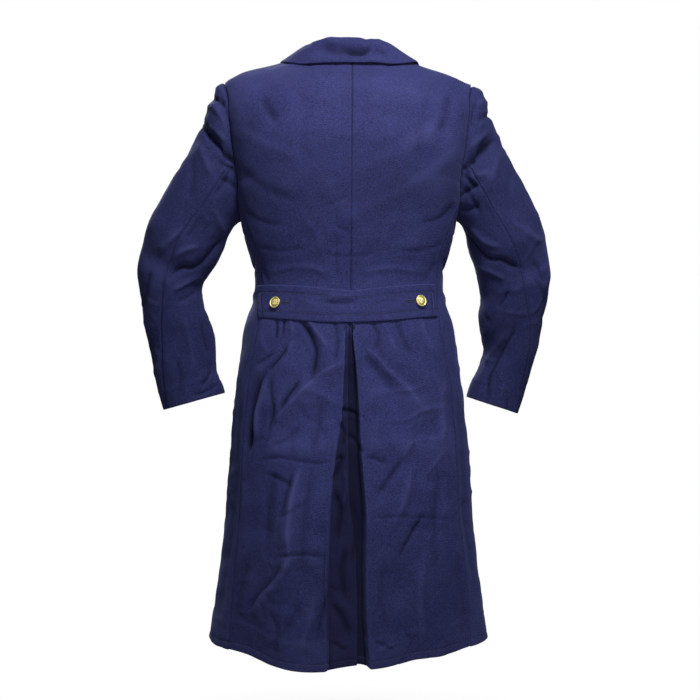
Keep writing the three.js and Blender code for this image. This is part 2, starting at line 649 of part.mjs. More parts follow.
// Where on a front panel the point over x and z lies, found step by step.
const FIND_STEPS = 40;
const FIND_FROM = { across: 0.3, down: 0.25 };
const LOWEST_DOWN = 0.9;
const ACROSS_PER_MM = 0.0022;
const DOWN_PER_MM = 0.0009;
function frontPlace(side, x, z) {
  let { across, down } = FIND_FROM;
  for (let k = 0; k < FIND_STEPS; k += 1) {
    const at = frontPoint(side, across, down);
    across = THREE.MathUtils.clamp(across + (x - at.x * side.sign) * ACROSS_PER_MM, 0, FRONT_SHARE);
    down = THREE.MathUtils.clamp(down + (at.z - z) * DOWN_PER_MM, 0, LOWEST_DOWN);
  }
  return [across, down];
}

function onFront(side, x, z, outward) {
  const step = 1e-4;
  const [across, down] = frontPlace(side, x, z);
  const at = frontPoint(side, across, down);
  const alongAcross = frontPoint(side, across + step, down).sub(at);
  const alongDown = frontPoint(side, across, down + step).sub(at);
  const normal = alongAcross.cross(alongDown).normalize().multiplyScalar(-side.sign);
  return at.addScaledVector(normal, outward);
}

// The lapels fold back along the roll line. The right one stops where the left front covers it.
const LAPEL_LIFT = 1.1;
const lapelCorners = {
  left: { neck: [46, -51], roll: [-80, -228], edge: [-78, -246], point: [168, -108] },
  right: { neck: [46, -51], roll: [6, -108], edge: [80, -218], point: [168, -108] },
};
const LAPEL_BELLY = 9; // how far the lapel's outer edge bows out

function lapelGeometry(side) {
  const corners = lapelCorners[side.name];
  const surface = (across, down) => {
    const innerX = lerp(corners.neck[0], corners.roll[0], down);
    const innerZ = lerp(corners.neck[1], corners.roll[1], down);
    const bow = LAPEL_BELLY * Math.sin(Math.PI * down);
    const outerX = lerp(corners.point[0], corners.edge[0], down) + bow;
    const outerZ = lerp(corners.point[1], corners.edge[1], down) - bow;
    const x = lerp(innerX, outerX, across);
    const z = lerp(innerZ, outerZ, across);
    return onFront(side, x, z, LAPEL_LIFT + CLOTH);
  };
  return clothWall(surface, evenSteps(6), evenSteps(9), -side.sign);
}

// ---- Buttons ----
// A domed metal face with a raised rim, and a shank that stands on the cloth.
const BUTTON_SIDES = 16;
function buttonGeometry() {
  const radius = BUTTON_DIAMETER / 2;
  const profile = [
    [0, 0], [2.6, 0], [2.6, 2.2], [radius - 1, 2.8], [radius, 4], [radius - 1, 5],
    [radius - 2.2, 4.5], [0, 5.8],
  ];
  const points = profile.map(([r, h]) => new THREE.Vector2(r, h));
  return new THREE.LatheGeometry(points, BUTTON_SIDES);
}

// ---- Materials ----
const material = (colour, roughness, metalness) =>
  new THREE.MeshStandardMaterial({ color: colour, roughness, metalness });
const wool = material(0x2c2f5a, 0.92, 0);
const belting = material(0x2a2d57, 0.92, 0);
const gilt = material(0xcfb66a, 0.32, 1);

// ---- The coat ----
const greatcoat = new THREE.Group();
function add(name, geometry, finish) {
  const mesh = new THREE.Mesh(geometry, finish);
  mesh.name = name;
  greatcoat.add(mesh);
  return mesh;
}

for (const side of Object.values(sides)) {
  add(
    `back_${side.name}`,
    clothWall((a, d) => backPoint(side, a, d), backAcross, bodyDown, side.sign),
    wool,
  );
  const keep = (i, j) => i >= seamRow || j < armholeColumn;
  add(
    `front_${side.name}`,
    clothWall((a, d) => frontPoint(side, a, d), frontAcross, bodyDown, -side.sign, CLOTH, keep),
    wool,
  );
  const rings = side.name === "left" ? leftRings : rightRings;
  add(`sleeve_${side.name}_top`, sleevePanel(side, rings, "top"), wool);
  add(`sleeve_${side.name}_under`, sleevePanel(side, rings, "under"), wool);
  add(`lapel_${side.name}`, lapelGeometry(side), wool);
}
add("collar", collarGeometry(), wool);
add("back_belt", beltGeometry(), belting);

// A button faces out of the cloth, its shank's foot a seat above a flat facet of it.
function placeButton(name, foot, outward) {
  const button = add(name, buttonGeometry(), gilt);
  button.position.copy(foot);
  button.quaternion.setFromUnitVectors(new THREE.Vector3(0, 1, 0), outward);
}

const BELT_BUTTON_SEAT = 0.7; // clears the belt, which is flat between its columns
const beltButtons = { left: [131, -478], right: [-127.5, -475] };
for (const [hand, [x, z]] of Object.entries(beltButtons)) {
  const height = BELT_LIFT + BELT_CLOTH + BELT_BUTTON_SEAT;
  const along = backAt(x - 1, z, height).sub(backAt(x + 1, z, height));
  const up = backAt(x, z + 1, height).sub(backAt(x, z - 1, height));
  placeButton(`belt_button_${hand}`, backAt(x, z, height), along.cross(up).normalize());
}

// Which interval of a rising list a value falls in, and how far through it.
function placeIn(list, value) {
  const k = Math.min(list.findLastIndex((from) => from <= value), list.length - 2);
  return [k, (value - list[k]) / (list[k + 1] - list[k])];
}

// Both columns of front buttons stand on the left front, on the facet of its wall they lie over.
const FRONT_BUTTON_X = 68;
const FRONT_BUTTON_SEAT = 0.4;
const frontButtonRows = [-272, -372, -472, -572];
frontButtonRows.forEach((z, row) => {
  for (const [column, sign] of [["left", 1], ["right", -1]]) {
    const [across, down] = frontPlace(sides.left, sign * FRONT_BUTTON_X, z);
    const [j, u] = placeIn(frontAcross, across);
    const [i, v] = placeIn(bodyDown, down);
    const corner = (di, dj) => frontPoint(sides.left, frontAcross[j + dj], bodyDown[i + di]);
    const near = corner(0, 0);
    const far = corner(1, 1);
    const between = v > u ? corner(1, 0) : corner(0, 1);
    const alongRow = v > u ? far.clone().sub(between) : between.clone().sub(near);
    const alongColumn = v > u ? between.clone().sub(near) : far.clone().sub(between);
    const outward = alongColumn.clone().cross(alongRow).normalize();
    const foot = near.addScaledVector(alongRow, u).addScaledVector(alongColumn, v);
    foot.addScaledVector(outward, FRONT_BUTTON_SEAT);
    placeButton(`front_button_${column}_${row + 1}`, foot, outward);
  }
});

export default greatcoat;
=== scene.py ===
"""A navy wool greatcoat, filled out as if worn, seen from behind on a pale floor."""

import math

import bpy
import numpy as np
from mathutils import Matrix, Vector


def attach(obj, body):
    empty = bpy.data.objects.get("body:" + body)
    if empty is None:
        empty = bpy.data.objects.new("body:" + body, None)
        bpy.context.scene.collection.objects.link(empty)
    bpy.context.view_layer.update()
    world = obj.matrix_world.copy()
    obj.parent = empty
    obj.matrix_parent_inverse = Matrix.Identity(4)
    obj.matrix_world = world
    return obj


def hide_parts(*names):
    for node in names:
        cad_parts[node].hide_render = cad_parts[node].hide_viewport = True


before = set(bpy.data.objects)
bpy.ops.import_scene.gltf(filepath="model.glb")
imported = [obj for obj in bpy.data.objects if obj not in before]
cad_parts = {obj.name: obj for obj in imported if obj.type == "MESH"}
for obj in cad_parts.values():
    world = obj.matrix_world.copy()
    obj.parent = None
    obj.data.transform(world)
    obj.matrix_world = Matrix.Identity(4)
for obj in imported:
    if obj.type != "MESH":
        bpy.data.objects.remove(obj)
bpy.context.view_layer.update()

bl_info = {
    "name": "Greatcoat",
    "version": (1, 0, 0),
    "blender": (4, 5, 0),
    "location": "3D View > Sidebar > Greatcoat",
    "description": "Builds a worn wool greatcoat with a half belt and a deep back vent",
    "category": "Object",
}

MM = 0.001
DEGREE = math.pi / 180
TAU = 2 * math.pi

# ---- Sizes of the coat's cut, in millimetres, +Y behind and +X to the wearer's left ----
SEAM_GAP = -0.2  # sewn edges press a little into each other
ARMPIT_Z = -315
HEM_Z = -1122
HEM_DROP_BACK = 8
SHOULDER_Y = -5
SHOULDER_ROUND = 0.36
SEAM_LEVEL = 0.76
OVERLAP_TOP = 92
OVERLAP_UNDER = 84
OVERLAP_LIFT = 5
BREAK_Z = -235
NECK_X = 75
NECK_Z = 8
ARMHOLE_Y = -5
ARMHOLE_BACK = 70
ARMHOLE_FRONT = 66
SEAM_RADIUS = 200
UNDERARM_EASE = 4
VENT_SHARE = 0.25
FRONT_SHARE = 0.72
LAST_RING = 17
BELT_CLOTH = 3.0
BELT_LIFT = 1.3
BELT_REACH = 181
BELT_LEFT = 68
BELT_RIGHT = -62
BELT_SKEW = 4.8
COLLAR_CLOTH = 3.0
LAPEL_LIFT = 1.1
LAPEL_BELLY = 9
FRONT_BUTTON_X = 68
FRONT_BUTTON_ROWS = (-272, -372, -472, -572)
BELT_BUTTONS = {"left": (131, -478), "right": (-127.5, -475)}
BELT_LENGTH = 385
BELT_WIDTH = 62
HOLE_INBOARD = 19  # from a belt button's middle to its buttonhole's
HOLE_HALF_HEIGHT = 1.7
CUFF_TURN = 38
SLEEVE_RADIUS = 65  # rough
VENT_HEAD = (-545, -512)  # the heights between which the vent closes
STITCH_REACH = 0.03  # metres that a stitch's place may be from the cloth it is put on

# Rough lengths of the panels, for the steps of their meshes and for places on them given in mm.
UPPER_LENGTH = 280
LOWER_LENGTH = 815
BACK_WIDTH = 235
CHEST_WIDTH = 300
BENEATH_WIDTH = 130
SLEEVE_LENGTH = 655
SLEEVE_WIDTH = {"top": 250, "under": 175}
FRONT_COARSENESS = 1.65
FAR = 200  # an edge this far away, in mm, has no part in a point's finish

# The eye looks level along -Y from behind the coat. Creases are laid out on a drafting grid that
# stands upright through the coat's middle and is read from that eye.
EYE_Y = 2300
EYE_Z = -565
VIEW_WIDTH = 1351
GRID_STEP = 1.93
GRID_X = 349
GRID_Z = 57
CREASE_REACH = 0.62
ROOM_LIGHT = 0.07
FLOOR_Z = -1.45
FLOOR_SPOKES = 64
FLOOR_RINGS = (0.4, 1, 2, 3.5, 6, 10)


# ---- Tables and small maths ----
def smooth(value, low, high):
    t = np.clip((np.asarray(value, float) - low) / (high - low), 0, 1)
    return t * t * (3 - 2 * t)


def lerp(a, b, t):
    return a + (b - a) * t


def bell(distance, width):
    return np.exp(-((distance / width) ** 2))


def curve_between(a, b, c, d, t):
    """A smooth curve that leaves b at t = 0 and reaches c at t = 1, with a before and d after them."""
    square, cube = (2 * a - 5 * b + 4 * c - d) * t * t, (3 * b - a - 3 * c + d) * t**3
    return 0.5 * (2 * b + (c - a) * t + square + cube)


class Table:
    """Named columns that run smoothly from row to row, read at any value of the first one."""

    def __init__(self, names, rows):
        data = np.array(rows, float)
        if data[0, 0] > data[-1, 0]:
            data = data[::-1]
        self.key = data[:, 0]
        self.columns = dict(zip(names[1:], data[:, 1:].T))

    def read(self, name, at):
        key, value = self.key, self.columns[name]
        last = len(key) - 1
        k = np.clip(np.searchsorted(key, at, side="right") - 1, 0, last - 1)
        before = np.maximum(np.arange(last + 1) - 1, 0)
        after = np.minimum(np.arange(last + 1) + 1, last)
        slope = (value[after] - value[before]) / (key[after] - key[before])
        span = key[k + 1] - key[k]
        t = np.clip((at - key[k]) / span, 0, 1)
        bend = t * (1 - t) * span
        ease = t * t * (3 - 2 * t)
        return lerp(value[k], value[k + 1], ease) + bend * ((1 - t) * slope[k] - t * slope[k + 1])

    def __getattr__(self, name):
        return lambda at: self.read(name, np.asarray(at, float))


TRUNK = Table(
    ["z", "half_width", "back", "front", "squareness"],
    [
        [20, 246, 60, 60, 3], [-10, 246, 64, 72, 3], [-30, 246, 86, 84, 3],
        [-60, 244, 108, 98, 3.1], [-110, 238, 130, 117, 3.2], [-180, 231, 146, 136, 3.1],
        [-250, 219, 150, 144, 2.9], [-315, 206, 147, 144, 2.6], [-372, 194, 138, 139, 2.4],
        [-411, 184, 131, 133, 2.3], [-440, 181, 127, 130, 2.3], [-470, 184, 129, 131, 2.3],
        [-508, 198, 137, 136, 2.3], [-546, 206, 147, 142, 2.25], [-600, 214, 160, 150, 2.2],
        [-662, 222, 169, 156, 2.2], [-739, 229, 178, 162, 2.2], [-816, 234, 184, 168, 2.2],
        [-893, 238, 189, 174, 2.2], [-970, 246, 194, 180, 2.2], [-1048, 256, 200, 186, 2.2],
        [-1140, 269, 206, 193, 2.2],
    ],
)
ARMHOLE_SEAM = Table(
    ["z", "x"],
    [
        [-50, 240], [-70, 234], [-90, 229], [-120, 227], [-150, 223], [-181, 219], [-205, 216],
        [-230, 212], [-260, 209], [-290, 207], [-320, 206],
    ],
)
SIDE_BACK_SEAM = Table(
    ["z", "x"],
    [
        [-252, 207], [-285, 198], [-320, 186], [-372, 172], [-436, 164], [-480, 166], [-527, 171],
        [-580, 180], [-650, 189], [-740, 197], [-855, 202], [-966, 212], [-1048, 218],
        [-1140, 223],
    ],
)
SHOULDER_LINE = Table(
    ["x", "z"],
    [
        [0, -10], [25, -9], [50, -3], [75, 8], [105, -2], [135, -13], [165, -21], [197, -30],
        [216, -38], [241, -50],
    ],
)
NECK_DEPTH = Table(["x", "y"], [[0, 62], [25, 59], [50, 46], [66, 26], [75, 0]])
VENT = Table(
    ["z", "fold_left", "free_left", "set_left", "fold_right", "free_right", "set_right"],
    [
        [0, -0.7, -6.8, 0, -12.7, -6.6, 0], [-250, 1.2, -4.9, 0, -10.8, -4.7, 0],
        [-470, 2.9, -3.2, 0, -9.1, -3.0, 0], [-500, 3.3, -2.8, 0, -8.7, -2.6, 0],
        [-540, 7, 0.6, 2, -8, 0.3, 7], [-575, 8, 1.5, 5, -12, 6, 14],
        [-620, 10, 1.5, 8, -16, 11, 19], [-690, 15, 1.5, 9, -20, 20, 21],
        [-760, 26, 1, 9, -24, 28, 21], [-840, 35, -2, 9, -31, 32, 21],
        [-890, 38, -8, 9, -32, 34, 22], [-970, 42, -13, 9, -31, 34, 22],
        [-1050, 43, -15, 9, -33, 34, 22], [-1140, 43, -14, 9, -41, 34, 22],
    ],
)
RING_NAMES = [
    "ring", "outer_x", "outer_z", "inner_x", "inner_z", "middle_y", "depth", "hind_seam",
    "fore_seam",
]
SLEEVE_RINGS = {
    "left": Table(
        RING_NAMES,
        [
            [0, 241.3, -50.3, 206.3, -314.7, -5, 68, 105.1, 238.7],
            [1, 250, -52, 209, -317, -5, 71, 105, 238],
            [2, 257, -66, 213, -319.5, -5, 74, 105, 237],
            [3, 270, -96, 217.5, -323, -5, 76, 104.5, 236],
            [4, 291, -141, 222, -327, -6, 77, 103, 234],
            [5, 318, -196, 226, -333, -7, 77, 101, 232],
            [6, 345, -240, 230, -341, -9, 76, 99, 229],
            [7, 371, -289, 236, -353, -11, 74, 94, 227],
            [8, 392, -334, 243, -372, -14, 72, 89, 225],
            [9, 405, -378, 256, -397, -17, 70, 87, 223],
            [10, 409, -412, 272, -421, -20, 67, 85, 221],
            [11, 406, -448, 282, -447, -24, 63, 81, 219],
            [12, 402, -487, 278, -486, -31, 58, 73, 218],
            [13, 397, -527, 266, -530, -39, 54, 63, 217],
            [14, 391, -570, 261, -580, -48, 51, 56, 216],
            [15, 385, -612, 257, -610, -56, 49, 49, 215],
            [16, 377, -650, 250, -632, -63, 48, 41, 215],
            [17, 368, -684, 246, -650, -68, 47, 33, 215],
        ],
    ),
    "right": Table(
        RING_NAMES,
        [
            [0, 237.3, -56.3, 206.3, -314.7, -5, 68, 105.1, 238.7],
            [1, 247, -57, 209, -317, -5, 71, 105, 238],
            [2, 259, -70, 212.5, -319.5, -5, 74, 105, 237],
            [3, 270, -104, 216, -323, -5, 76, 104.5, 236],
            [4, 287, -145, 219, -327, -6, 77, 103, 234],
            [5, 311, -196, 222, -334, -7, 77, 101, 232],
            [6, 334, -240, 225, -345, -9, 75, 99, 229],
            [7, 360, -293, 229, -362, -11, 73, 94, 227],
            [8, 376, -338, 236, -382, -14, 71, 90, 225],
            [9, 388, -380, 245, -408, -17, 69, 87, 223],
            [10, 393, -418, 250, -434, -20, 66, 84, 221],
            [11, 389, -452, 251, -460, -24, 62, 78, 219],
            [12, 383, -490, 252, -494, -31, 58, 68, 218],
            [13, 377, -527, 259, -530, -39, 54, 58, 217],
            [14, 368, -570, 264, -571, -48, 51, 50, 216],
            [15, 359, -606, 252, -604, -56, 49, 44, 215],
            [16, 349, -644, 240, -632, -63, 48, 38, 215],
            [17, 337, -692, 233, -658, -68, 47, 32, 215],
        ],
    ),
}
# ring, angle, reach along, reach round, climb, height
SLEEVE_FOLDS = (
    (3.6, 55, 0.7, 45, -0.012, -5), (9.6, 80, 0.8, 60, 0.012, -7), (7.9, 60, 0.7, 50, 0.01, 4),
    (11.2, 150, 0.7, 60, 0, -5), (10.4, 250, 0.8, 60, 0, -6), (12.6, 120, 0.8, 40, 0, 4),
    (14.6, 150, 0.7, 50, 0.01, -4),
)
COLLAR = Table(
    [
        "station", "seam_x", "seam_y", "seam_z", "roll_x", "roll_y", "roll_z", "edge_x", "edge_y",
        "edge_z",
    ],
    [
        [0, 0, 56, -7, 0, 61, 19, 0, 85, -29], [0.2, 28, 55, -4, 30, 57, 19, 38, 82, -29],
        [0.4, 54, 40, 0, 58, 42, 18.5, 82, 69, -27], [0.55, 69, 16, 8.5, 74, 17, 20, 118, 39, -15],
        [0.65, 72, -6, 12, 77, -6, 21.5, 133, 4, -6.8], [0.8, 69, -34, 1, 75, -38, 12, 140, -34, -19],
        [0.9, 62, -58, -21, 69, -62, -7, 141, -65, -42], [1, 51, -82, -46, 57, -88, -36, 134, -95, -74],
    ],
)
# How far the collar's fall stands up from a straight line between its roll and its edge.
COLLAR_SWELL = Table(
    ["station", "shoulder", "spread"],
    [[0, 1, 10], [0.3, 1, 9], [0.5, -1, 3], [0.65, -2, 0], [0.8, 0, 4], [1, 1, 8]],
)
BELT_EDGES = Table(
    ["x", "top_z", "bottom_z"],
    [
        [-175, -441, -501], [-120, -444, -506], [-60, -450, -512], [0, -456, -514],
        [60, -450, -513], [120, -445, -508], [180, -443, -503],
    ],
)
# How much lower (minus) or higher than its even curve the hem hangs, by distance from the centre back.
HEM_WANDER = {
    "left": Table(
        ["x", "z"], [[-20, 9], [15, 4], [45, -2], [90, -4], [135, 2], [185, 14], [240, 13], [300, 6]]
    ),
    "right": Table(
        ["x", "z"], [[-45, 8], [20, 7], [38, 3], [75, 7], [117, 15], [165, 16], [220, 20], [300, 14]]
    ),
}
LAPEL_CORNERS = {
    "left": {"neck": (46, -51), "roll": (-80, -228), "edge": (-78, -246), "point": (168, -108)},
    "right": {"neck": (46, -51), "roll": (6, -108), "edge": (80, -218), "point": (168, -108)},
}


class Side:
    def __init__(self, name, sign, tip_x, tip_z, overlap):
        self.name, self.sign, self.tip_x, self.tip_z, self.overlap = name, sign, tip_x, tip_z, overlap


SIDES = (Side("left", 1, 240, -50, OVERLAP_TOP), Side("right", -1, 236, -56, OVERLAP_UNDER))

# ---- Creases, placed one by one ----
# Each is a line over the drafting grid, its reach to each side and its height in mm (minus for a
# trough), how crisp it is (2 soft, 1 sharp) and how it leans (+ steeper on its right-hand side).
BACK_CREASES = (
    # shoulders and shoulder blades
    (((451, 94), (446, 112), (440, 135)), 17, -2.4, 2, 0),
    (((262, 97), (267, 108), (275, 122)), 15, -2.8, 2, 0),
    (((462, 100), (432, 128), (392, 152), (360, 168)), 26, 1.4, 2, 0.2),
    (((458, 150), (424, 176), (384, 200), (356, 212)), 22, 1.6, 2, 0.2),
    (((240, 128), (268, 146), (300, 158)), 20, 1.5, 2, -0.2),
    (((238, 168), (262, 188), (292, 200)), 18, -1.6, 2, 0),
    (((430, 92), (420, 128), (418, 170)), 16, -1.0, 2, 0),
    (((300, 84), (304, 112), (300, 150)), 18, -1.2, 2, 0),
    (((455, 204), (440, 218), (420, 224)), 10, -1.2, 1.6, 0.2),
    (((243, 208), (262, 222), (284, 226)), 11, -1.2, 1.6, -0.2),
    # small of the back
    (((327, 206), (338, 200), (349, 195)), 7, -1.4, 1.6, 0),
    (((336, 226), (349, 231)), 6, -1.2, 1.6, 0),
    (((338, 228), (337, 256), (339, 283)), 6, -0.9, 1.6, 0),
    (((322, 254), (350, 256), (379, 253)), 6, -0.7, 1.5, 0),
    (((362, 272), (392, 268), (424, 273)), 9, 1.0, 2, 0),
    (((268, 272), (300, 268), (334, 273)), 9, 1.0, 2, 0),
    (((256, 246), (278, 252), (306, 250)), 8, -0.8, 1.6, 0),
    (((446, 244), (420, 251), (396, 249)), 8, -0.8, 1.6, 0),
    (((258, 262), (264, 274), (268, 284)), 8, -1.2, 1.7, 0),
    (((436, 262), (430, 274), (424, 284)), 8, -1.0, 1.7, 0),
    (((300, 214), (318, 236), (322, 262)), 12, 0.7, 2, 0),
    (((398, 212), (384, 236), (380, 262)), 12, 0.7, 2, 0),
    # left skirt
    (
        ((349, 361), (332, 367), (318, 376), (305, 388), (295, 398), (282, 412), (272, 428)),
        11, 2.8, 1.3, 0.45,
    ),
    (((299, 381), (288, 397), (281, 410)), 8, -3.8, 1.5, 0),
    (((265, 373), (260, 383), (255, 400), (251, 417), (249, 438), (248, 455)), 13, -6.5, 1.7, -0.35),
    (((268, 376), (263, 392), (258, 412), (254, 440)), 9, 2.2, 1.7, 0),
    (((272, 377), (270, 388), (272, 400), (273, 411), (270, 423), (267, 433)), 8, -2.8, 1.5, 0),
    (((273, 353), (264, 359), (256, 365)), 6, -1.8, 1.5, 0),
    (((265, 473), (279, 479), (292, 486)), 9, -2.0, 1.6, 0),
    (((262, 449), (296, 447), (332, 448)), 26, 1.5, 2, 0),
    (((362, 446), (404, 444), (448, 447)), 26, 1.0, 2, 0),
    (((300, 320), (308, 333), (315, 350), (314, 363), (311, 378)), 9, -4.4, 1.5, 0.2),
    (((308, 320), (318, 334), (328, 348)), 9, 2.2, 1.7, 0),
    (((287, 346), (277, 360), (267, 371)), 8.5, -3.6, 1.5, 0.2),
    (((294, 338), (284, 356), (272, 372)), 9, 2.0, 1.7, 0),
    (((275.5, 319), (276, 328), (275, 338)), 4, -2.6, 1.5, 0),
    (((283, 319), (283, 327), (282, 334)), 4, -2.2, 1.5, 0),
    (((290, 319), (292, 330), (290, 341)), 5, 1.6, 1.6, 0),
    (((334, 321), (337, 340), (335, 362)), 9, -2.0, 1.7, 0),
    (((256, 461), (277, 458), (298, 461), (318, 463), (332, 461)), 5, -1.3, 1.3, 0.4),
    (((276, 557), (302, 555), (328, 557)), 6, -2.0, 1.3, 0.3),
    (((300, 467), (294, 490), (290, 514), (288, 535), (288.5, 556)), 13, 4.0, 1.6, -0.3),
    (((288.5, 556), (283, 572), (268, 593), (255, 616)), 13, 4.2, 1.6, -0.3),
    (((312, 470), (306, 500), (303, 540), (300, 590)), 14, -2.6, 1.8, 0),
    (((292, 472), (286, 494), (282, 516)), 9, -2.4, 1.6, 0),
    (((281, 560), (275, 576), (260, 594), (246, 612)), 10, -2.8, 1.6, 0),
    (((330, 590), (322, 612), (316, 640)), 9, -2.6, 1.6, 0),
    (((300, 604), (292, 622), (280, 640)), 10, -2.4, 1.6, 0),
    (((275, 470), (268, 505), (266, 548)), 14, -2.4, 1.8, 0),
    (((328, 540), (325, 560), (325, 592), (326, 628)), 6, -1.6, 1.4, 0),
    (((262, 350), (256, 392), (254, 430)), 14, 1.8, 2, 0),
    (((322, 400), (318, 428), (312, 452)), 13, -1.8, 1.8, 0),
    (((248, 560), (240, 590), (234, 622)), 12, -2.2, 1.8, 0),
    (((314, 596), (310, 620), (300, 650)), 11, 2.2, 1.8, 0),
    (((270, 612), (276, 634), (272, 656)), 11, -2.0, 1.8, 0),
    (((300, 428), (286, 440), (270, 447)), 9, -1.3, 1.6, 0),
    (((308, 500), (292, 512), (278, 518)), 8, -1.1, 1.6, 0),
    # right skirt
    (((362, 345), (374, 354), (390, 371), (410, 390), (427, 416)), 12, 2.4, 1.5, -0.35),
    (((364, 356), (380, 374), (398, 394)), 12, -2.2, 1.7, 0),
    (((372, 321), (378, 336), (374, 350)), 8, -2.0, 1.6, 0),
    (((396, 320), (404, 340), (414, 356)), 10, -2.2, 1.7, 0),
    (((384, 320), (390, 338), (396, 352)), 9, 1.6, 1.8, 0),
    (((420, 318), (426, 334), (434, 352)), 9, 1.8, 1.8, 0),
    (((364, 457), (376, 459), (388, 464)), 6, -1.6, 1.4, 0.3),
    (((402, 459), (390, 476), (377, 495)), 9, -2.8, 1.5, 0.2),
    (((424, 515), (412, 536), (398, 561)), 9, -2.8, 1.5, 0.2),
    (((412, 466), (404, 500), (392, 532)), 14, 2.2, 1.9, 0),
    (((366, 519), (400, 517), (452, 520)), 5, -0.9, 1.4, 0.2),
    (((440, 470), (436, 520), (440, 580)), 14, -2.2, 1.9, 0),
    (((424, 560), (420, 600), (424, 646)), 14, 2.0, 1.9, 0),
    (((386, 560), (382, 600), (386, 636)), 12, -1.8, 1.8, 0),
    (((456, 560), (462, 592), (468, 628)), 12, -1.8, 1.8, 0),
    (((446, 380), (442, 410), (444, 440)), 12, 1.6, 2, 0),
    (((372, 641), (384, 645), (395, 650)), 5, -1.8, 1.4, 0),
    (((376, 652), (386, 648), (397, 642)), 5, 1.6, 1.4, 0),
    (((404, 632), (412, 641), (408, 652)), 6, -1.4, 1.5, 0),
    # the vent's lower cloth
    (((342, 498), (340, 540), (342, 590)), 5, 1.2, 1.6, 0),
    (((334, 460), (341, 458), (336, 472), (331, 481)), 7, -3.6, 1.5, 0),
    (((341, 410), (350, 411), (360, 415)), 7, -4.0, 1.5, 0),
    (((347, 434), (356, 442), (363, 452)), 7, -4.0, 1.5, 0),
    (((334, 492), (340, 512), (337, 540)), 9, -4.2, 1.5, 0),
    (((344, 470), (346, 490), (341, 510)), 8, 3.0, 1.6, 0),
    (((347, 548), (342, 572), (345, 600)), 9, -3.6, 1.5, 0),
    (((350, 500), (356, 530), (352, 565)), 8, -2.6, 1.6, 0),
    (((333, 604), (342, 618), (349, 634)), 9, -3.6, 1.5, 0),
    (((338, 420), (344, 432), (342, 446)), 6, -2.4, 1.6, 0),
    (((330, 641), (338, 645), (346, 650)), 5, -1.8, 1.4, 0),
    (((334, 652), (341, 646), (350, 643)), 5, 1.4, 1.4, 0),
)
SLEEVE_LEFT_CREASES = (
    (((211, 98), (218, 100), (226, 103)), 9, -4.4, 1.7, 0),
    (((213, 89), (220, 88), (228, 92)), 10, 2.0, 1.9, 0),
    (((204, 108), (212, 106), (222, 110)), 11, 2.4, 1.9, 0),
    (((194, 121), (203, 123), (214, 127)), 10, -2.2, 1.8, 0),
    (((199, 125), (210, 138), (222, 151), (236, 163), (246, 173)), 11.5, -8.5, 1.25, 0.35),
    (((238, 171), (229, 166), (218, 163)), 9, -4.0, 1.5, 0),
    (((238, 190), (229, 182), (218, 178)), 9, -3.0, 1.6, 0),
    (((205, 122), (216, 132), (228, 141)), 9, 2.8, 1.7, 0),
    (((220, 99), (226, 108), (229, 120)), 7, -2.6, 1.6, 0),
    (((213, 108), (222, 118), (226, 132)), 8, 2.0, 1.7, 0),
    (((196, 140), (204, 158), (212, 176)), 13, 2.2, 1.9, 0),
    (((188, 152), (190, 176), (186, 200)), 14, -2.2, 1.9, 0),
    (((232, 170), (224, 184), (214, 196)), 9, -2.2, 1.6, 0),
    (((168, 277), (181, 268), (194, 268), (206, 261), (216, 249), (226, 237)), 9, -4.8, 1.4, 0.2),
    (((158, 252), (170, 240), (188, 228)), 12, 3.2, 1.7, 0),
    (((166, 262), (180, 252), (200, 246)), 10, 2.4, 1.7, 0),
    (((172, 290), (186, 282), (200, 276)), 9, 2.6, 1.7, 0),
    (((176, 302), (188, 296), (198, 290)), 8, -2.2, 1.6, 0),
    (((204, 216), (196, 228), (190, 240)), 12, -2.0, 1.8, 0),
    (((214, 208), (220, 222), (224, 234)), 11, 1.8, 1.8, 0),
    (((150, 270), (146, 288), (144, 306)), 9, -2.4, 1.7, 0),
    (((202, 320), (205, 338), (211, 356)), 7, -2.6, 1.5, 0),
    (((184, 316), (190, 344), (194, 372)), 12, 1.8, 1.9, 0),
    (((213, 369), (208, 379), (201, 387)), 6, -2.4, 1.4, 0),
    (((176, 360), (180, 380), (178, 400)), 11, -1.5, 1.9, 0),
    (((218, 384), (206, 392), (192, 396)), 6, -1.2, 1.5, 0),
    (((148, 330), (152, 352), (154, 374)), 8, -1.2, 1.8, 0),
)
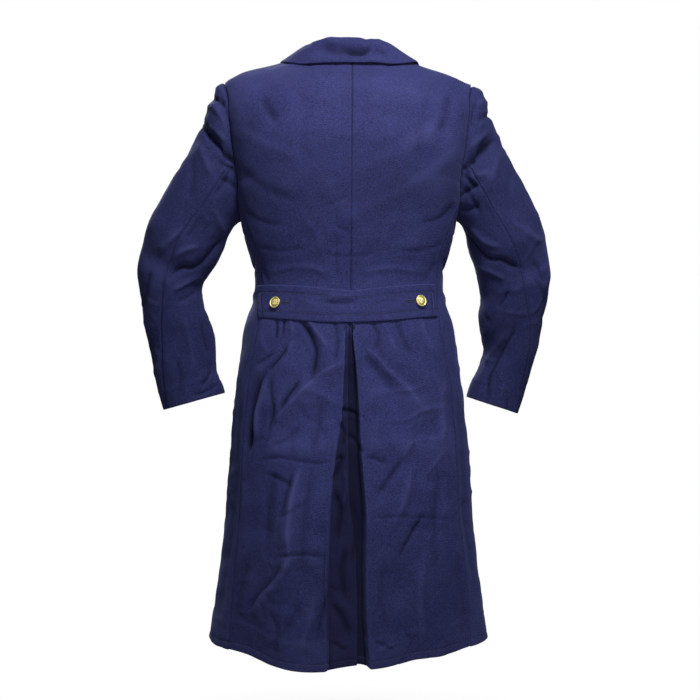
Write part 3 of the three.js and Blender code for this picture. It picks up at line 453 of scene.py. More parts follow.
SLEEVE_RIGHT_CREASES = (
    (((493, 114), (486, 116), (477, 119)), 9, -4.2, 1.7, 0),
    (((491, 104), (483, 102), (474, 104)), 11, 2.2, 1.9, 0),
    (((509, 134), (501, 137), (492, 139)), 11, 1.8, 1.9, 0),
    (((510, 147), (502, 147), (494, 144)), 10, -1.6, 1.8, 0),
    (((497, 139), (486, 149), (475, 159), (462, 169), (450, 178)), 11.5, -8.5, 1.25, -0.35),
    (((461, 172), (468, 178), (475, 187)), 8, -3.6, 1.6, 0),
    (((458, 198), (468, 190), (481, 183)), 9, -3.8, 1.6, 0),
    (((464, 178), (476, 176), (490, 172)), 9, 2.4, 1.7, 0),
    (((457, 208), (468, 210), (480, 205)), 9, -2.8, 1.6, 0),
    (((490, 130), (480, 139), (466, 150)), 12, 3.0, 1.7, 0),
    (((474, 100), (472, 112), (470, 128)), 7, -2.4, 1.6, 0),
    (((486, 112), (482, 122), (476, 132)), 8, 2.0, 1.7, 0),
    (((502, 150), (496, 166), (490, 184)), 13, 2.2, 1.9, 0),
    (((514, 170), (510, 192), (516, 214)), 13, -2.2, 1.9, 0),
    (((462, 184), (472, 200), (480, 216)), 9, -2.0, 1.6, 0),
    (((461, 229), (474, 246), (488, 258.5), (501, 260), (511, 265), (525, 270)), 9, -4.6, 1.4, -0.2),
    (((470, 228), (484, 242), (500, 248)), 10, 2.6, 1.7, 0),
    (((540, 244), (526, 232), (512, 222)), 11, 2.8, 1.8, 0),
    (((480, 268), (494, 274), (506, 280)), 9, 2.4, 1.7, 0),
    (((509, 290), (504, 299), (497, 308)), 6, -2.6, 1.4, 0),
    (((517, 327), (504, 348), (496, 362), (487.5, 380), (487.5, 403)), 7, -2.6, 1.4, 0.3),
    (((506, 332), (494, 350), (484, 366)), 9, 1.8, 1.8, 0),
    (((507, 398), (507, 406), (507, 414)), 4, -1.4, 1.4, 0),
    (((546, 290), (542, 318), (538, 344)), 9, -1.6, 1.8, 0),
    (((500, 372), (502, 386), (500, 400)), 8, 1.4, 1.8, 0),
    (((478, 296), (482, 312), (490, 326)), 8, -1.8, 1.7, 0),
    (((532, 262), (540, 272), (544, 284)), 8, -2.2, 1.7, 0),
)
# On the front the grid is read straight, at each point's own height and distance from the middle.
FRONT_CREASES = (
    (((205, 96), (232, 120), (262, 138)), 22, -2.4, 1.9, 0),
    (((250, 150), (290, 190), (320, 240)), 24, 2.2, 1.9, 0),
    (((455, 150), (420, 190), (392, 236)), 24, 2.0, 1.9, 0),
    (((254, 226), (290, 244), (330, 250)), 12, -2.6, 1.6, 0.2),
    (((444, 230), (410, 246), (370, 252)), 12, -2.4, 1.6, 0.2),
    (((262, 282), (300, 290), (340, 286)), 10, -2.2, 1.6, 0),
    (((436, 280), (400, 292), (372, 288)), 10, -2.0, 1.6, 0),
    (((262, 330), (268, 420), (258, 520), (246, 620)), 26, 3.8, 1.8, 0.2),
    (((300, 340), (296, 440), (292, 560), (284, 640)), 22, -3.2, 1.8, 0),
    (((414, 336), (420, 430), (430, 540), (440, 630)), 26, 3.6, 1.8, -0.2),
    (((438, 350), (452, 460), (462, 560)), 20, -3.0, 1.8, 0),
    (((318, 440), (324, 520), (320, 600)), 18, 2.0, 1.9, 0),
    (((396, 450), (392, 540), (398, 632)), 18, -2.4, 1.9, 0),
    (((250, 456), (300, 454), (350, 457), (400, 454), (452, 457)), 5, -1.2, 1.3, 0.3),
    (((280, 556), (340, 557), (400, 555)), 5, -1.0, 1.3, 0.3),
)
SIDE_CREASES = (
    # read from the side: distance in front of the middle, then height, both on the grid's steps
    (((340, 330), (336, 420), (342, 520), (336, 640)), 22, -3.4, 1.8, 0.2),
    (((372, 360), (380, 460), (378, 560), (388, 640)), 20, 3.0, 1.8, 0),
    (((312, 380), (304, 480), (306, 600)), 18, -2.2, 1.9, 0),
    (((330, 226), (352, 240), (372, 232)), 10, -3.0, 1.6, 0),
    (((320, 262), (350, 272), (382, 266)), 9, -2.4, 1.6, 0),
    (((328, 292), (352, 300), (380, 294)), 9, 2.0, 1.7, 0),
)
SLEEVE_FRONT_CREASES = (
    (((206, 128), (216, 146), (232, 160)), 10, -3.6, 1.6, 0),
    (((160, 236), (184, 252), (214, 256)), 11, -4.4, 1.5, 0.2),
    (((150, 262), (176, 276), (206, 270)), 10, -3.4, 1.5, 0),
    (((156, 288), (180, 298), (204, 292)), 9, 2.6, 1.7, 0),
    (((164, 220), (180, 232), (196, 240)), 11, 2.4, 1.8, 0),
    (((170, 330), (176, 356), (174, 384)), 12, -1.8, 1.9, 0),
    (((196, 316), (200, 344), (208, 366)), 10, 1.8, 1.9, 0),
    (((190, 176), (196, 200), (190, 222)), 13, 2.0, 1.9, 0),
)


def bent_line(points):
    """A given line as many short steps on one smooth curve."""
    points = np.array(points, float)
    if len(points) == 2:
        return np.linspace(points[0], points[1], 5)
    ends = np.vstack([2 * points[0] - points[1], points, 2 * points[-1] - points[-2]])
    steps = []
    for a, b, c, d in zip(ends, ends[1:], ends[2:], ends[3:]):
        steps += [curve_between(a, b, c, d, t) for t in np.linspace(0, 1, 6)[:-1]]
    steps.append(points[-1])
    return np.array(steps)


def wander(points, size, seed):
    """Slow, smooth, seeded unevenness between about -1 and 1 over points in mm."""
    rng = np.random.default_rng(seed)
    total = np.zeros(points.shape[:-1])
    for _ in range(7):
        way = rng.normal(size=3)
        way /= np.linalg.norm(way)
        length = size * rng.uniform(0.7, 1.6)
        total += np.sin(points @ way * TAU / length + rng.uniform(0, TAU)) * rng.uniform(0.6, 1)
    return total / 3


def crumple(points, size, seed):
    """Fine uneven creases that come and go, as ridges between 0 and 1."""
    line = (1 - np.clip(np.abs(wander(points, size, seed)) * 2.6, 0, 1)) ** 1.5
    return line * smooth(wander(points, size * 2.2, seed + 50), -0.05, 0.55)


def crease_height(creases, column, row):
    """Height in mm, at places on the drafting grid, of all the creases of one table, and how steep
    their hollows are, which is painted as shade in them."""
    total = np.zeros(np.shape(column))
    hollow = np.zeros(np.shape(column))
    for points, reach, height, crisp, lean in creases:
        line = bent_line(points)
        spread = reach * CREASE_REACH / GRID_STEP
        low, high = line.min(0) - 3.2 * spread, line.max(0) + 3.2 * spread
        near = (column > low[0]) & (column < high[0]) & (row > low[1]) & (row < high[1])
        if not near.any():
            continue
        at = np.stack([column[near], row[near]], -1)
        best = np.full(len(at), np.inf)
        along = np.zeros(len(at))
        hand = np.zeros(len(at))
        lengths = np.linalg.norm(np.diff(line, axis=0), axis=1)
        whole = lengths.sum()
        done = 0.0
        for a, b, length in zip(line, line[1:], lengths):
            way = (b - a) / length
            off = at - a
            t = np.clip(off @ way, 0, length)
            gap = off - t[:, None] * way
            distance = np.hypot(gap[:, 0], gap[:, 1])
            closer = distance < best
            best = np.where(closer, distance, best)
            along = np.where(closer, (done + t) / whole, along)
            hand = np.where(closer, np.sign(way[0] * off[:, 1] - way[1] * off[:, 0]), hand)
            done += length
        fade = smooth(along, -0.08, 0.22) * (1 - smooth(along, 0.78, 1.08))
        width = spread * (1 - lean * hand)
        here = height * fade * np.exp(-((best / width) ** crisp))
        total[near] += here
        if height < 0:
            hollow[near] += -height / reach * fade * np.exp(-((best / width / 0.7) ** 1.4))
    return total, hollow


def seen(points):
    """Where points in mm fall on the drafting grid."""
    reach = EYE_Y / (EYE_Y - points[..., 1])
    column = GRID_X - points[..., 0] * reach / GRID_STEP
    row = GRID_Z - (EYE_Z + (points[..., 2] - EYE_Z) * reach) / GRID_STEP
    return column, row


def straight_on(points, axis):
    """The drafting grid read straight: column by the given axis, row by height."""
    return GRID_X - points[..., axis] / GRID_STEP, GRID_Z - points[..., 2] / GRID_STEP


def with_creases(points, normals, tables, depth, wrap=0.05):
    """Height of the creases of each table, which is read from one way, and how deep the hollows are, which
    is painted as shade in them.
    """
    uneven = 0.8 * wander(points, 150, 3)
    height = np.zeros(points.shape[:-1])
    hollow = np.zeros(points.shape[:-1])
    for way, creases in tables:
        if way == "behind":
            column, row = seen(points)
            facing = smooth(normals[..., 1], -wrap, 0.35)
        elif way == "before":
            column, row = straight_on(points, 0)
            facing = smooth(-normals[..., 1], 0.1, 0.5)
        else:
            column, row = straight_on(points, 1)
            facing = smooth(np.abs(normals[..., 0]), 0.5, 0.85)
        stands, sinks = crease_height(creases, column + uneven, row + uneven[..., ::-1])
        height += facing * stands
        hollow += facing * sinks
    height += 1.1 * wander(points, 190, 5) + 0.6 * wander(points, 62, 7) + 0.25 * wander(points, 27, 9)
    skirt, sleeve = smooth(-points[..., 2], 400, 700), smooth(np.abs(points[..., 0]), 215, 260)
    slack = lerp(0.28, 1, np.maximum(skirt, sleeve))
    ridges, troughs = 1.1 * crumple(points, 85, 11), 1.1 * crumple(points, 75, 13)
    height += slack * (ridges - troughs - 0.6 * crumple(points, 46, 15))
    return height * depth, np.clip(1.35 * hollow * depth, 0, 0.95)


# ---- Points on the body ----
FRONT_FOLDS = (
    (110, -620, 130, -900, 34, 6), (150, -700, 190, -1080, 30, -6),
    (-120, -640, -140, -920, 34, 6), (-160, -720, -200, -1090, 30, -6),
)
BACK_FOLDS = (
    (2, -575, 130, -660, 24, 5), (130, -660, 150, -780, 30, 4), (90, -548, 68, -610, 20, -6),
    (90, -850, 122, -1080, 30, 6), (60, -900, 78, -1100, 24, -5), (165, -900, 190, -1100, 30, -5),
    (-28, -570, -145, -700, 26, -6), (-60, -560, -170, -640, 22, 4), (-95, -800, -50, -880, 26, 4),
    (-140, -900, -95, -1000, 28, -5), (-150, -1000, -165, -1120, 30, 5),
    (165, -70, 140, -130, 24, -4), (-185, -70, -170, -150, 24, -4), (40, -275, 0, -330, 18, 3),
)


def fold_height(x, z, back):
    def of(folds):
        total = np.zeros(np.broadcast(x, z).shape)
        for x1, z1, x2, z2, reach, height in folds:
            along_x, along_z = x2 - x1, z2 - z1
            t = np.clip(((x - x1) * along_x + (z - z1) * along_z) / (along_x**2 + along_z**2), 0, 1)
            away = np.hypot(x - x1 - along_x * t, z - z1 - along_z * t) / reach
            total += height * np.exp(-away * away)
        return total

    return np.where(back, of(BACK_FOLDS), of(FRONT_FOLDS))


def trunk_radius(angle, z):
    depth = np.where(np.cos(angle) > 0, TRUNK.back(z), TRUNK.front(z))
    power = TRUNK.squareness(z)
    across = np.abs(np.sin(angle)) / TRUNK.half_width(z)
    along = np.abs(np.cos(angle)) / depth
    return (across**power + along**power) ** (-1 / power)


def angle_at(x, z, face):
    power = TRUNK.squareness(z)
    depth = TRUNK.back(z) if face > 0 else TRUNK.front(z)
    rest = np.maximum(1 - np.abs(x / TRUNK.half_width(z)) ** power, 1e-6)
    angle = np.arctan2(np.abs(x), depth * rest ** (1 / power))
    sign = np.where(np.asarray(x) < 0, -1, 1)
    return angle * sign if face > 0 else math.pi - angle * sign


def armhole_span(side):
    """The height of the armhole's middle, and half the armhole's height."""
    return (side.tip_z + ARMPIT_Z) / 2, (side.tip_z - ARMPIT_Z) / 2


def armhole_point(side, angle):
    middle, half = armhole_span(side)
    z = middle + half * np.cos(angle)
    reach = np.where(np.sin(angle) > 0, ARMHOLE_BACK, ARMHOLE_FRONT)
    x = ARMHOLE_SEAM.x(z) + (side.tip_x - ARMHOLE_SEAM.x(side.tip_z)) * smooth(z, -120, side.tip_z)
    return np.stack(np.broadcast_arrays(x, ARMHOLE_Y + reach * np.sin(angle), z), -1)


def armhole_angle_at(side, z):
    middle, half = armhole_span(side)
    return np.arccos(np.clip((z - middle) / half, -1, 1))


def top_z(side, x):
    return SHOULDER_LINE.z(x) + (side.tip_z + 50) * smooth(x, NECK_X, side.tip_x)


def seam_y_at(side, x):
    return SHOULDER_Y * (x - NECK_X) / (side.tip_x - NECK_X)


def height_at(level, top, angle):
    hem = HEM_Z - HEM_DROP_BACK * np.maximum(np.cos(angle), 0)
    return np.where(level <= 1, lerp(top, ARMPIT_Z, level), lerp(ARMPIT_Z, hem, level - 1))


def trunk_point(side, angle, z, level, seam_y):
    radius = trunk_radius(angle, z)
    back = np.cos(angle) > 0
    radius = radius + fold_height(radius * np.sin(angle) * side.sign, z, back)
    t = np.minimum(level / SHOULDER_ROUND, 1)
    y = seam_y + (radius * np.cos(angle) - seam_y) * np.sqrt(np.maximum(1 - (1 - t) ** 2, 0))
    return np.stack(np.broadcast_arrays(radius * np.sin(angle), y, z), -1)


def turned(point, distance):
    turn = distance / SEAM_RADIUS
    x, y, z = point[..., 0], point[..., 1], point[..., 2]
    return np.stack([x + y * turn, y - x * turn, z], -1)


def side_edge(side, level, face, gap):
    z = height_at(level, side.tip_z, 1)
    join_z = lerp(side.tip_z, ARMPIT_Z, SEAM_LEVEL)
    turn = armhole_angle_at(side, np.maximum(z, join_z))
    pull = 1 - smooth(level, SEAM_LEVEL, 1.13)
    clear = gap * (1 + (UNDERARM_EASE - 1) * pull)
    target = turned(armhole_point(side, turn if face > 0 else TAU - turn), clear)
    seam = angle_at(SIDE_BACK_SEAM.x(z), z, 1)
    angle = lerp(seam + clear / SEAM_RADIUS, np.arctan2(target[..., 0], target[..., 1]), pull)
    return z, join_z, target, pull, angle


def hang(side, points, level):
    """Lets the hem wander up and down from its even curve."""
    points[..., 2] += HEM_WANDER[side.name].z(points[..., 0]) * smooth(level, 1.55, 2)
    return points


def back_point(side, across, down):
    level = np.clip(down * 2, 0, 2)
    share = np.clip((across - VENT_SHARE) / (1 - VENT_SHARE), 0, 1)
    to_fold = np.clip(across / VENT_SHARE, 0, 1)
    panel = across > VENT_SHARE
    centre_z = height_at(level, SHOULDER_LINE.z(0), 0)
    fold_x = side.sign * VENT.read(f"fold_{side.name}", centre_z)
    free_x = side.sign * VENT.read(f"free_{side.name}", centre_z)
    top_x = np.where(panel, lerp(fold_x, side.tip_x, share), lerp(free_x, fold_x, to_fold))
    z = height_at(level, top_z(side, np.abs(top_x)), share * 1.2)
    seam_y = np.where(top_x < NECK_X, NECK_DEPTH.y(np.abs(top_x)), seam_y_at(side, top_x))
    edge_z, _, target, pull, edge_angle = side_edge(side, level, 1, -SEAM_GAP / 2)
    by_x = angle_at(np.where(panel, lerp(fold_x, target[..., 0], share), top_x), z, 1)
    by_angle = lerp(angle_at(fold_x, z, 1), edge_angle, share)
    turn = smooth(level, 0.4, 1)
    angle = np.where(panel, lerp(by_x, by_angle, turn), by_x)
    point = trunk_point(side, angle, z, level, seam_y + SEAM_GAP / 2)
    point[..., 1] -= VENT.read(f"set_{side.name}", z) * smooth(1 - to_fold, 0, 0.13)
    rim_angle = lerp(angle_at(target[..., 0], edge_z, 1), edge_angle, turn)
    rim = trunk_point(side, rim_angle, edge_z, level, SHOULDER_Y + SEAM_GAP / 2)
    ease = smooth(share, 0.45, 1) * pull
    point[..., 0] += (target[..., 0] - rim[..., 0]) * ease
    point[..., 1] += (target[..., 1] + (SEAM_GAP / 2) * (level < 0.01) - rim[..., 1]) * ease
    hang(side, point, level)
    point[..., 0] *= side.sign
    return point


def overlap_lift(side, x, z, y):
    if side.name != "left":
        return 0
    lift = OVERLAP_LIFT * (1 - smooth(x, 104, 154)) * (1 - smooth(z, -95, -40))
    return np.where(y > 0, 0, lift)


def front_edge_x(side, z):
    t = np.clip((NECK_Z - z) / (NECK_Z - BREAK_Z), 0, 1)
    return lerp(NECK_X, -side.overlap, t)


def front_point(side, across, down):
    level = np.clip(down * 2, 0, 2)
    share = np.minimum(across / FRONT_SHARE, 1)
    underarm = np.clip((across - FRONT_SHARE) / (1 - FRONT_SHARE), 0, 1)
    under = underarm > 0
    top_x = lerp(NECK_X, side.tip_x, share)
    front_z = height_at(level, NECK_Z, math.pi)
    edge_z, join_z, target, pull, _ = side_edge(side, level, -1, 0)
    column_angle = np.arctan2(target[..., 0], target[..., 1])
    edge_x = front_edge_x(side, front_z)
    z = height_at(level, top_z(side, top_x), math.pi * (1 - share / 2))
    turn = smooth(level, 0.4, 1)
    angle = lerp(
        angle_at(lerp(edge_x, target[..., 0], share), z, -1),
        lerp(angle_at(edge_x, front_z, -1), column_angle, share),
        turn,
    )
    rim_angle = lerp(angle_at(target[..., 0], edge_z, -1), column_angle, turn)
    _, _, _, _, behind_angle = side_edge(side, level, 1, SEAM_GAP / 2)
    join = armhole_angle_at(side, join_z)
    beneath = turned(
        armhole_point(side, lerp(TAU - join, join, underarm)),
        (SEAM_GAP / 2) * UNDERARM_EASE * underarm,
    )
    target = np.where(under[..., None], beneath, target)
    angle = np.where(under, lerp(column_angle, behind_angle, underarm), angle)
    under_z = edge_z + (beneath[..., 2] - join_z) * (1 - smooth(level, SEAM_LEVEL, 1.25))
    z = np.where(under, under_z, z)
    rim_angle = np.where(under, angle, rim_angle)
    rim_z = np.where(under, under_z, edge_z)
    point = trunk_point(side, angle, z, level, seam_y_at(side, top_x) - SEAM_GAP / 2)
    point[..., 1] -= overlap_lift(side, point[..., 0], z, point[..., 1])
    rim = trunk_point(side, rim_angle, rim_z, level, SHOULDER_Y - SEAM_GAP / 2)
    ease = np.where(under, 1, smooth(share, 0.45, 1)) * pull
    point[..., 0] += (target[..., 0] - rim[..., 0]) * ease
    point[..., 1] += (target[..., 1] - (SEAM_GAP / 2) * (level < 0.01) - rim[..., 1]) * ease
    hang(side, point, level)
    point[..., 0] *= side.sign
    return point


def sleeve_point(side, ring, degrees):
    rings = SLEEVE_RINGS[side.name]
    angle = degrees * DEGREE
    swell = np.zeros(np.broadcast(ring, degrees).shape)
    for at, turn, along_reach, round_reach, climb, height in SLEEVE_FOLDS:
        away = (degrees - turn + 180) % 360 - 180
        along = (ring - at - climb * away) / along_reach
        swell += height * np.exp(-along * along - (away / round_reach) ** 2)
    grow = 1 + swell * smooth(ring, 1, 3) / SLEEVE_RADIUS
    cos = np.cos(angle) * grow

    def across_arm(axis):
        outer, inner = rings.read(f"outer_{axis}", ring), rings.read(f"inner_{axis}", ring)
        return (outer + inner) / 2 + (outer - inner) / 2 * cos

    y = rings.middle_y(ring) + rings.depth(ring) * np.sin(angle) * grow
    point = np.stack([across_arm("x"), y, across_arm("z")], -1)
    seated = armhole_point(side, angle)
    on_seam = np.stack(
        [
            seated[..., 0] + SEAM_GAP + 0.1,
            lerp(seated[..., 1], ARMHOLE_Y, 0.006),
            lerp(seated[..., 2], armhole_span(side)[0], 0.003),
        ],
        -1,
    )
    t = (1 - np.minimum(ring / 2.2, 1)) ** 2
    point = lerp(point, on_seam, t[..., None])
    point[..., 0] *= side.sign
    return point


def back_at(x, z, outward):
    angle = angle_at(x, z, 1)
    radius = trunk_radius(angle, z) + fold_height(x, z, True) + outward
    return np.stack(np.broadcast_arrays(radius * np.sin(angle), radius * np.cos(angle), z), -1)


def on_front(side, x, z, outward):
    """Points of a front panel that lie over x and z, found step by step, moved out of the cloth."""
    across = np.full(np.shape(x), 0.3)
    down = np.full(np.shape(x), 0.25)
    for _ in range(60):
        at = front_point(side, across, down)
        across = np.clip(across + (x - at[..., 0] * side.sign) * 0.0018, 0, FRONT_SHARE)
        down = np.clip(down + (at[..., 2] - z) * 0.0009, 0, 0.9)
    at = front_point(side, across, down)
    normal = np.cross(
        front_point(side, across + 1e-4, down) - at, front_point(side, across, down + 1e-4) - at
    )
    normal /= np.linalg.norm(normal, axis=-1, keepdims=True) * -side.sign
    return at + normal * outward, normal


# ---- Meshes ----
def link(name, mesh):
    piece = bpy.data.objects.new(name, mesh)
    bpy.context.scene.collection.objects.link(piece)
    return piece


def grid_normals(points, facing):
    across = np.gradient(points, axis=1)
    down = np.gradient(points, axis=0)
    normal = np.cross(across, down) * facing
    return normal / np.maximum(np.linalg.norm(normal, axis=-1, keepdims=True), 1e-9)


def lengths_along(points, axis):
    step = np.linalg.norm(np.diff(points, axis=axis), axis=-1)
    start = np.zeros_like(np.take(step, [0], axis=axis))
    return np.cumsum(np.concatenate([start, step], axis=axis), axis=axis)


def to_ends(lengths, axis):
    """The distance to the nearer end, from lengths measured along the axis."""
    return np.minimum(lengths, np.take(lengths, [-1], axis=axis) - lengths)


def edge_share(distance, reach):
    """1 on an edge, falling off to 0 at the reach from it."""
    return np.clip(1 - distance / reach, 0, 1) ** 2


def mesh_from(name, vertices, faces, uv=None, shares=None):
    mesh = bpy.data.meshes.new(name)
    faces = np.asarray(faces, np.int32)
    mesh.vertices.add(len(vertices))
    mesh.vertices.foreach_set("co", np.asarray(vertices, np.float32).ravel())
    mesh.loops.add(faces.size)
    mesh.loops.foreach_set("vertex_index", faces.ravel())
    mesh.polygons.add(len(faces))
    size = faces.shape[1]
    mesh.polygons.foreach_set("loop_start", np.arange(0, faces.size, size, dtype=np.int32))
    mesh.polygons.foreach_set("loop_total", np.full(len(faces), size, np.int32))
    mesh.update(calc_edges=True)
    if uv is not None:
        layer = mesh.uv_layers.new(name="cloth")
        layer.data.foreach_set("uv", np.asarray(uv, np.float32)[faces.ravel()].ravel())
    for key, values in (shares or {}).items():
        attribute = mesh.attributes.new(key, "FLOAT", "POINT")
        attribute.data.foreach_set("value", np.asarray(values, np.float32))
    mesh.polygons.foreach_set("use_smooth", np.ones(len(faces), bool))
    mesh.validate()
    mesh.update()
    return mesh


def ring_faces(rings, around, closed=False):
    """Quads between neighbouring rings of points; closed joins the last ring to the first."""
    faces = []
    for k in range(rings if closed else rings - 1):
        n = (k + 1) % rings
        for j in range(around):
            m = (j + 1) % around
            faces.append((k * around + j, k * around + m, n * around + m, n * around + j))
    return faces


def cloth_wall(
    name, outer, normals, thickness, rounded, rolled, height, shade=0, hand=1, keep=None, turn=0.0
):
    """A wall of cloth from the grid of its outer side. rounded is 1 on a finished edge, which gets a soft
    nose and is paler where it is rubbed; rolled is 1 on a sewn edge, which turns in and is darkened with
    painted shade along the seam; height (mm) shows where creases stand, and their crests get a painted
    highlight; shade is painted shade that darkens the colour. The inner side is painted half in shade.
    Cells that keep leaves out have no cloth."""
    rows, columns = outer.shape[:2]
    top = outer - normals * (0.42 * thickness * rounded + 1.5 * rolled)[..., None]
    under = outer - normals * (thickness * (1 - 0.42 * rounded) + 1.5 * rolled)[..., None]
    cells = np.ones((rows - 1, columns - 1), bool) if keep is None else keep
    index = np.arange(rows * columns).reshape(rows, columns)
    a, b, c, d = index[:-1, :-1], index[:-1, 1:], index[1:, 1:], index[1:, :-1]
    count = rows * columns
    quads = [np.stack([a, b, c, d], -1)[cells], np.stack([d, c, b, a], -1)[cells] + count]
    padded = np.pad(cells, 1)
    for beyond, p, q in (
        (padded[:-2, 1:-1], b, a),
        (padded[2:, 1:-1], d, c),
        (padded[1:-1, :-2], a, d),
        (padded[1:-1, 2:], c, b),
    ):
        quads.append(np.stack([p, q, q + count, p + count], -1)[cells & ~beyond])
    faces = np.concatenate(quads)
    across, down = lengths_along(outer, 1), lengths_along(outer, 0)
    middle = across[:, columns // 2][:, None]
    u, v = (across - middle) * MM * hand, down * MM
    turn *= DEGREE
    uv = np.stack([u * math.cos(turn) + v * math.sin(turn), v * math.cos(turn) - u * math.sin(turn)], -1)
    vertices = np.concatenate([top.reshape(-1, 3), under.reshape(-1, 3)]) * MM
    uv = np.concatenate([uv.reshape(-1, 2)] * 2)
    # Paler on rubbed finished edges (real wear), and a painted highlight on the crests of creases.
    wear_and_highlight = np.clip(0.25 * rounded + np.clip(height, 0, 6) * 0.1, 0, 1)
    wear_and_highlight = np.concatenate([wear_and_highlight.ravel(), np.zeros(count)])
    # deep is painted shade: along sewn edges, wherever shade is given, and at half strength on the inner
    # side.
    deep = np.maximum(0.6 * rolled, shade + 0 * height)
    deep = np.concatenate([deep.ravel(), np.full(count, 0.5)])
    used = np.unique(faces)
    renumber = np.zeros(2 * count, np.int64)
    renumber[used] = np.arange(len(used))
    faces = renumber[faces]
    vertices, uv, wear_and_highlight, deep = vertices[used], uv[used], wear_and_highlight[used], deep[used]
    p, q, r, t = (vertices[faces[:, n]] for n in range(4))
    if np.einsum("ij,ij->", p, np.cross(q, r)) + np.einsum("ij,ij->", p, np.cross(r, t)) < 0:
        faces = faces[:, ::-1]
    return link(name, mesh_from(name, vertices, faces, uv, {"wear_and_highlight": wear_and_highlight, "deep": deep}))


def finish_piece(piece, material, slot, *nodes):
    piece.data.materials.append(material)
    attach(piece, "root")
    if nodes:
        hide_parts(*nodes)
    return piece


def spaced(start, end, step, *fine):
    """Rising values from start to end about a step apart, with finer ones near the given ends."""
    count = max(int(round((end - start) / step)), 1)
    values = list(np.linspace(start, end, count + 1))
    for at, sizes in fine:
        values += [at + s for s in sizes if start <= at + s <= end]
    return np.unique(np.round(values, 7))


# ---- Materials ----
TWILL_SLANT = -52  # degrees
WAVE_SCALE = 0.31416  # the wave texture's scale at which one band is as wide as a unit


def nodes_of(name):
    material = bpy.data.materials.new(name)
    material.use_nodes = True
    tree = material.node_tree
    return material, tree, tree.nodes["Principled BSDF"]


def set_inputs(tree, node, inputs):
    """Links what varies over the surface, and sets what is the same all over on the node itself."""
    for key, value in inputs.items():
        if isinstance(value, bpy.types.NodeSocket):
            tree.links.new(value, node.inputs[key])
        else:
            node.inputs[key].default_value = value


def add_node(tree, kind, inputs=None, **settings):
    node = tree.nodes.new(kind)
    for key, value in settings.items():
        setattr(node, key, value)
    set_inputs(tree, node, inputs or {})
    return node


def maths(tree, operation, a, b=0.0):
    return add_node(tree, "ShaderNodeMath", {0: a, 1: b}, operation=operation).outputs[0]


def mixed(tree, factor, a, b):
    return add_node(tree, "ShaderNodeMix", {0: factor, 6: a, 7: b}, data_type="RGBA").outputs[2]


def weighted(tree, *terms):
    """The sum of values, each times its weight."""
    parts = [maths(tree, "MULTIPLY", value, weight) for value, weight in terms]
    total = parts[0]
    for part in parts[1:]:
        total = maths(tree, "ADD", total, part)
    return total


def place_in(tree):
    return add_node(tree, "ShaderNodeTexCoord").outputs["Object"]


def noise(tree, scale, detail, roughness=0.5, distortion=0.0):
    inputs = {
        "Vector": place_in(tree), "Scale": scale, "Detail": detail, "Roughness": roughness,
        "Distortion": distortion,
    }
    return add_node(tree, "ShaderNodeTexNoise", inputs).outputs["Fac"]


def attribute(tree, name):
    return add_node(tree, "ShaderNodeAttribute", attribute_name=name).outputs["Fac"]


def remapped(tree, value, low, high, to_low, to_high, **settings):
    inputs = {0: value, 1: low, 2: high, 3: to_low, 4: to_high}
    return add_node(tree, "ShaderNodeMapRange", inputs, **settings).outputs[0]


def seen_brighter(tree, light):
    """A strength of 1 to the eye, and of light to everything that the room lights."""
    seen_by_eye = add_node(tree, "ShaderNodeLightPath").outputs["Is Camera Ray"]
    return remapped(tree, seen_by_eye, 0.0, 1.0, light, 1.0)


def bumped(tree, height, strength, distance):
    inputs = {"Height": height, "Strength": strength, "Distance": distance}
    return add_node(tree, "ShaderNodeBump", inputs).outputs[0]


def wool(name, base, light, dark, twill=0.0036):
    """Napped wool twill: fine diagonal ribs under a soft fuzz, paler where it is rubbed and under a
    painted highlight on crease crests, and darkened by painted shade where the deep attribute says.
    """
    material, tree, shader = nodes_of(name)
    uv = add_node(tree, "ShaderNodeUVMap", uv_map="cloth").outputs["UV"]
    slanted = add_node(
        tree, "ShaderNodeMapping", {"Vector": uv, "Rotation": (0, 0, math.radians(TWILL_SLANT))}
    )
    ribs = add_node(
        tree, "ShaderNodeTexWave",
        {"Vector": slanted.outputs[0], "Scale": WAVE_SCALE / twill, "Distortion": 0.6,
         "Detail": 2.0, "Detail Scale": 1.5, "Detail Roughness": 0.6},
        wave_type="BANDS", bands_direction="X",
    ).outputs["Fac"]
    fuzz = noise(tree, 900.0, 3.0, 0.7)
    nap = noise(tree, 470.0, 3.0, 0.65)
    clouds = noise(tree, 9.0, 4.0, 0.55, 0.6)
    spread = weighted(tree, (nap, 1.6), (ribs, 0.12), (clouds, 0.25))
    colour = mixed(tree, remapped(tree, spread, 0.56, 1.42, 0.0, 1.0), dark, base)
    # Toward the rubbed colour on finished edges (wear), and as a painted highlight on crease crests.
    colour = mixed(tree, weighted(tree, (attribute(tree, "wear_and_highlight"), 0.42)), colour, light)
    # Painted shade: the deep attribute darkens hollows, seams, the vent, the hem, the upper sleeves and the
    # inner side.
    colour = mixed(tree, weighted(tree, (attribute(tree, "deep"), 0.95)), colour, dark)
    surface = weighted(tree, (ribs, 0.2), (fuzz, 0.6), (nap, 0.8))
    set_inputs(tree, shader, {
        "Base Color": colour,
        "Roughness": remapped(tree, nap, 0.3, 0.7, 0.78, 0.95),
        "Specular IOR Level": 0.12,
        "Sheen Weight": 0.1,
        "Sheen Roughness": 0.45,
        "Sheen Tint": (0.3, 0.36, 0.85, 1),
        "Normal": bumped(tree, surface, 0.55, 0.0006),
    })
    return material


def thread(name, colour, dark):
    """Twisted sewing thread with a dull gleam."""
    material, tree, shader = nodes_of(name)
    ply = noise(tree, 2200.0, 2.0)
    set_inputs(tree, shader, {
        "Base Color": mixed(tree, ply, dark, colour),
        "Roughness": 0.7,
        "Sheen Weight": 0.2,
        "Normal": bumped(tree, ply, 0.4, 0.0002),
    })
    return material


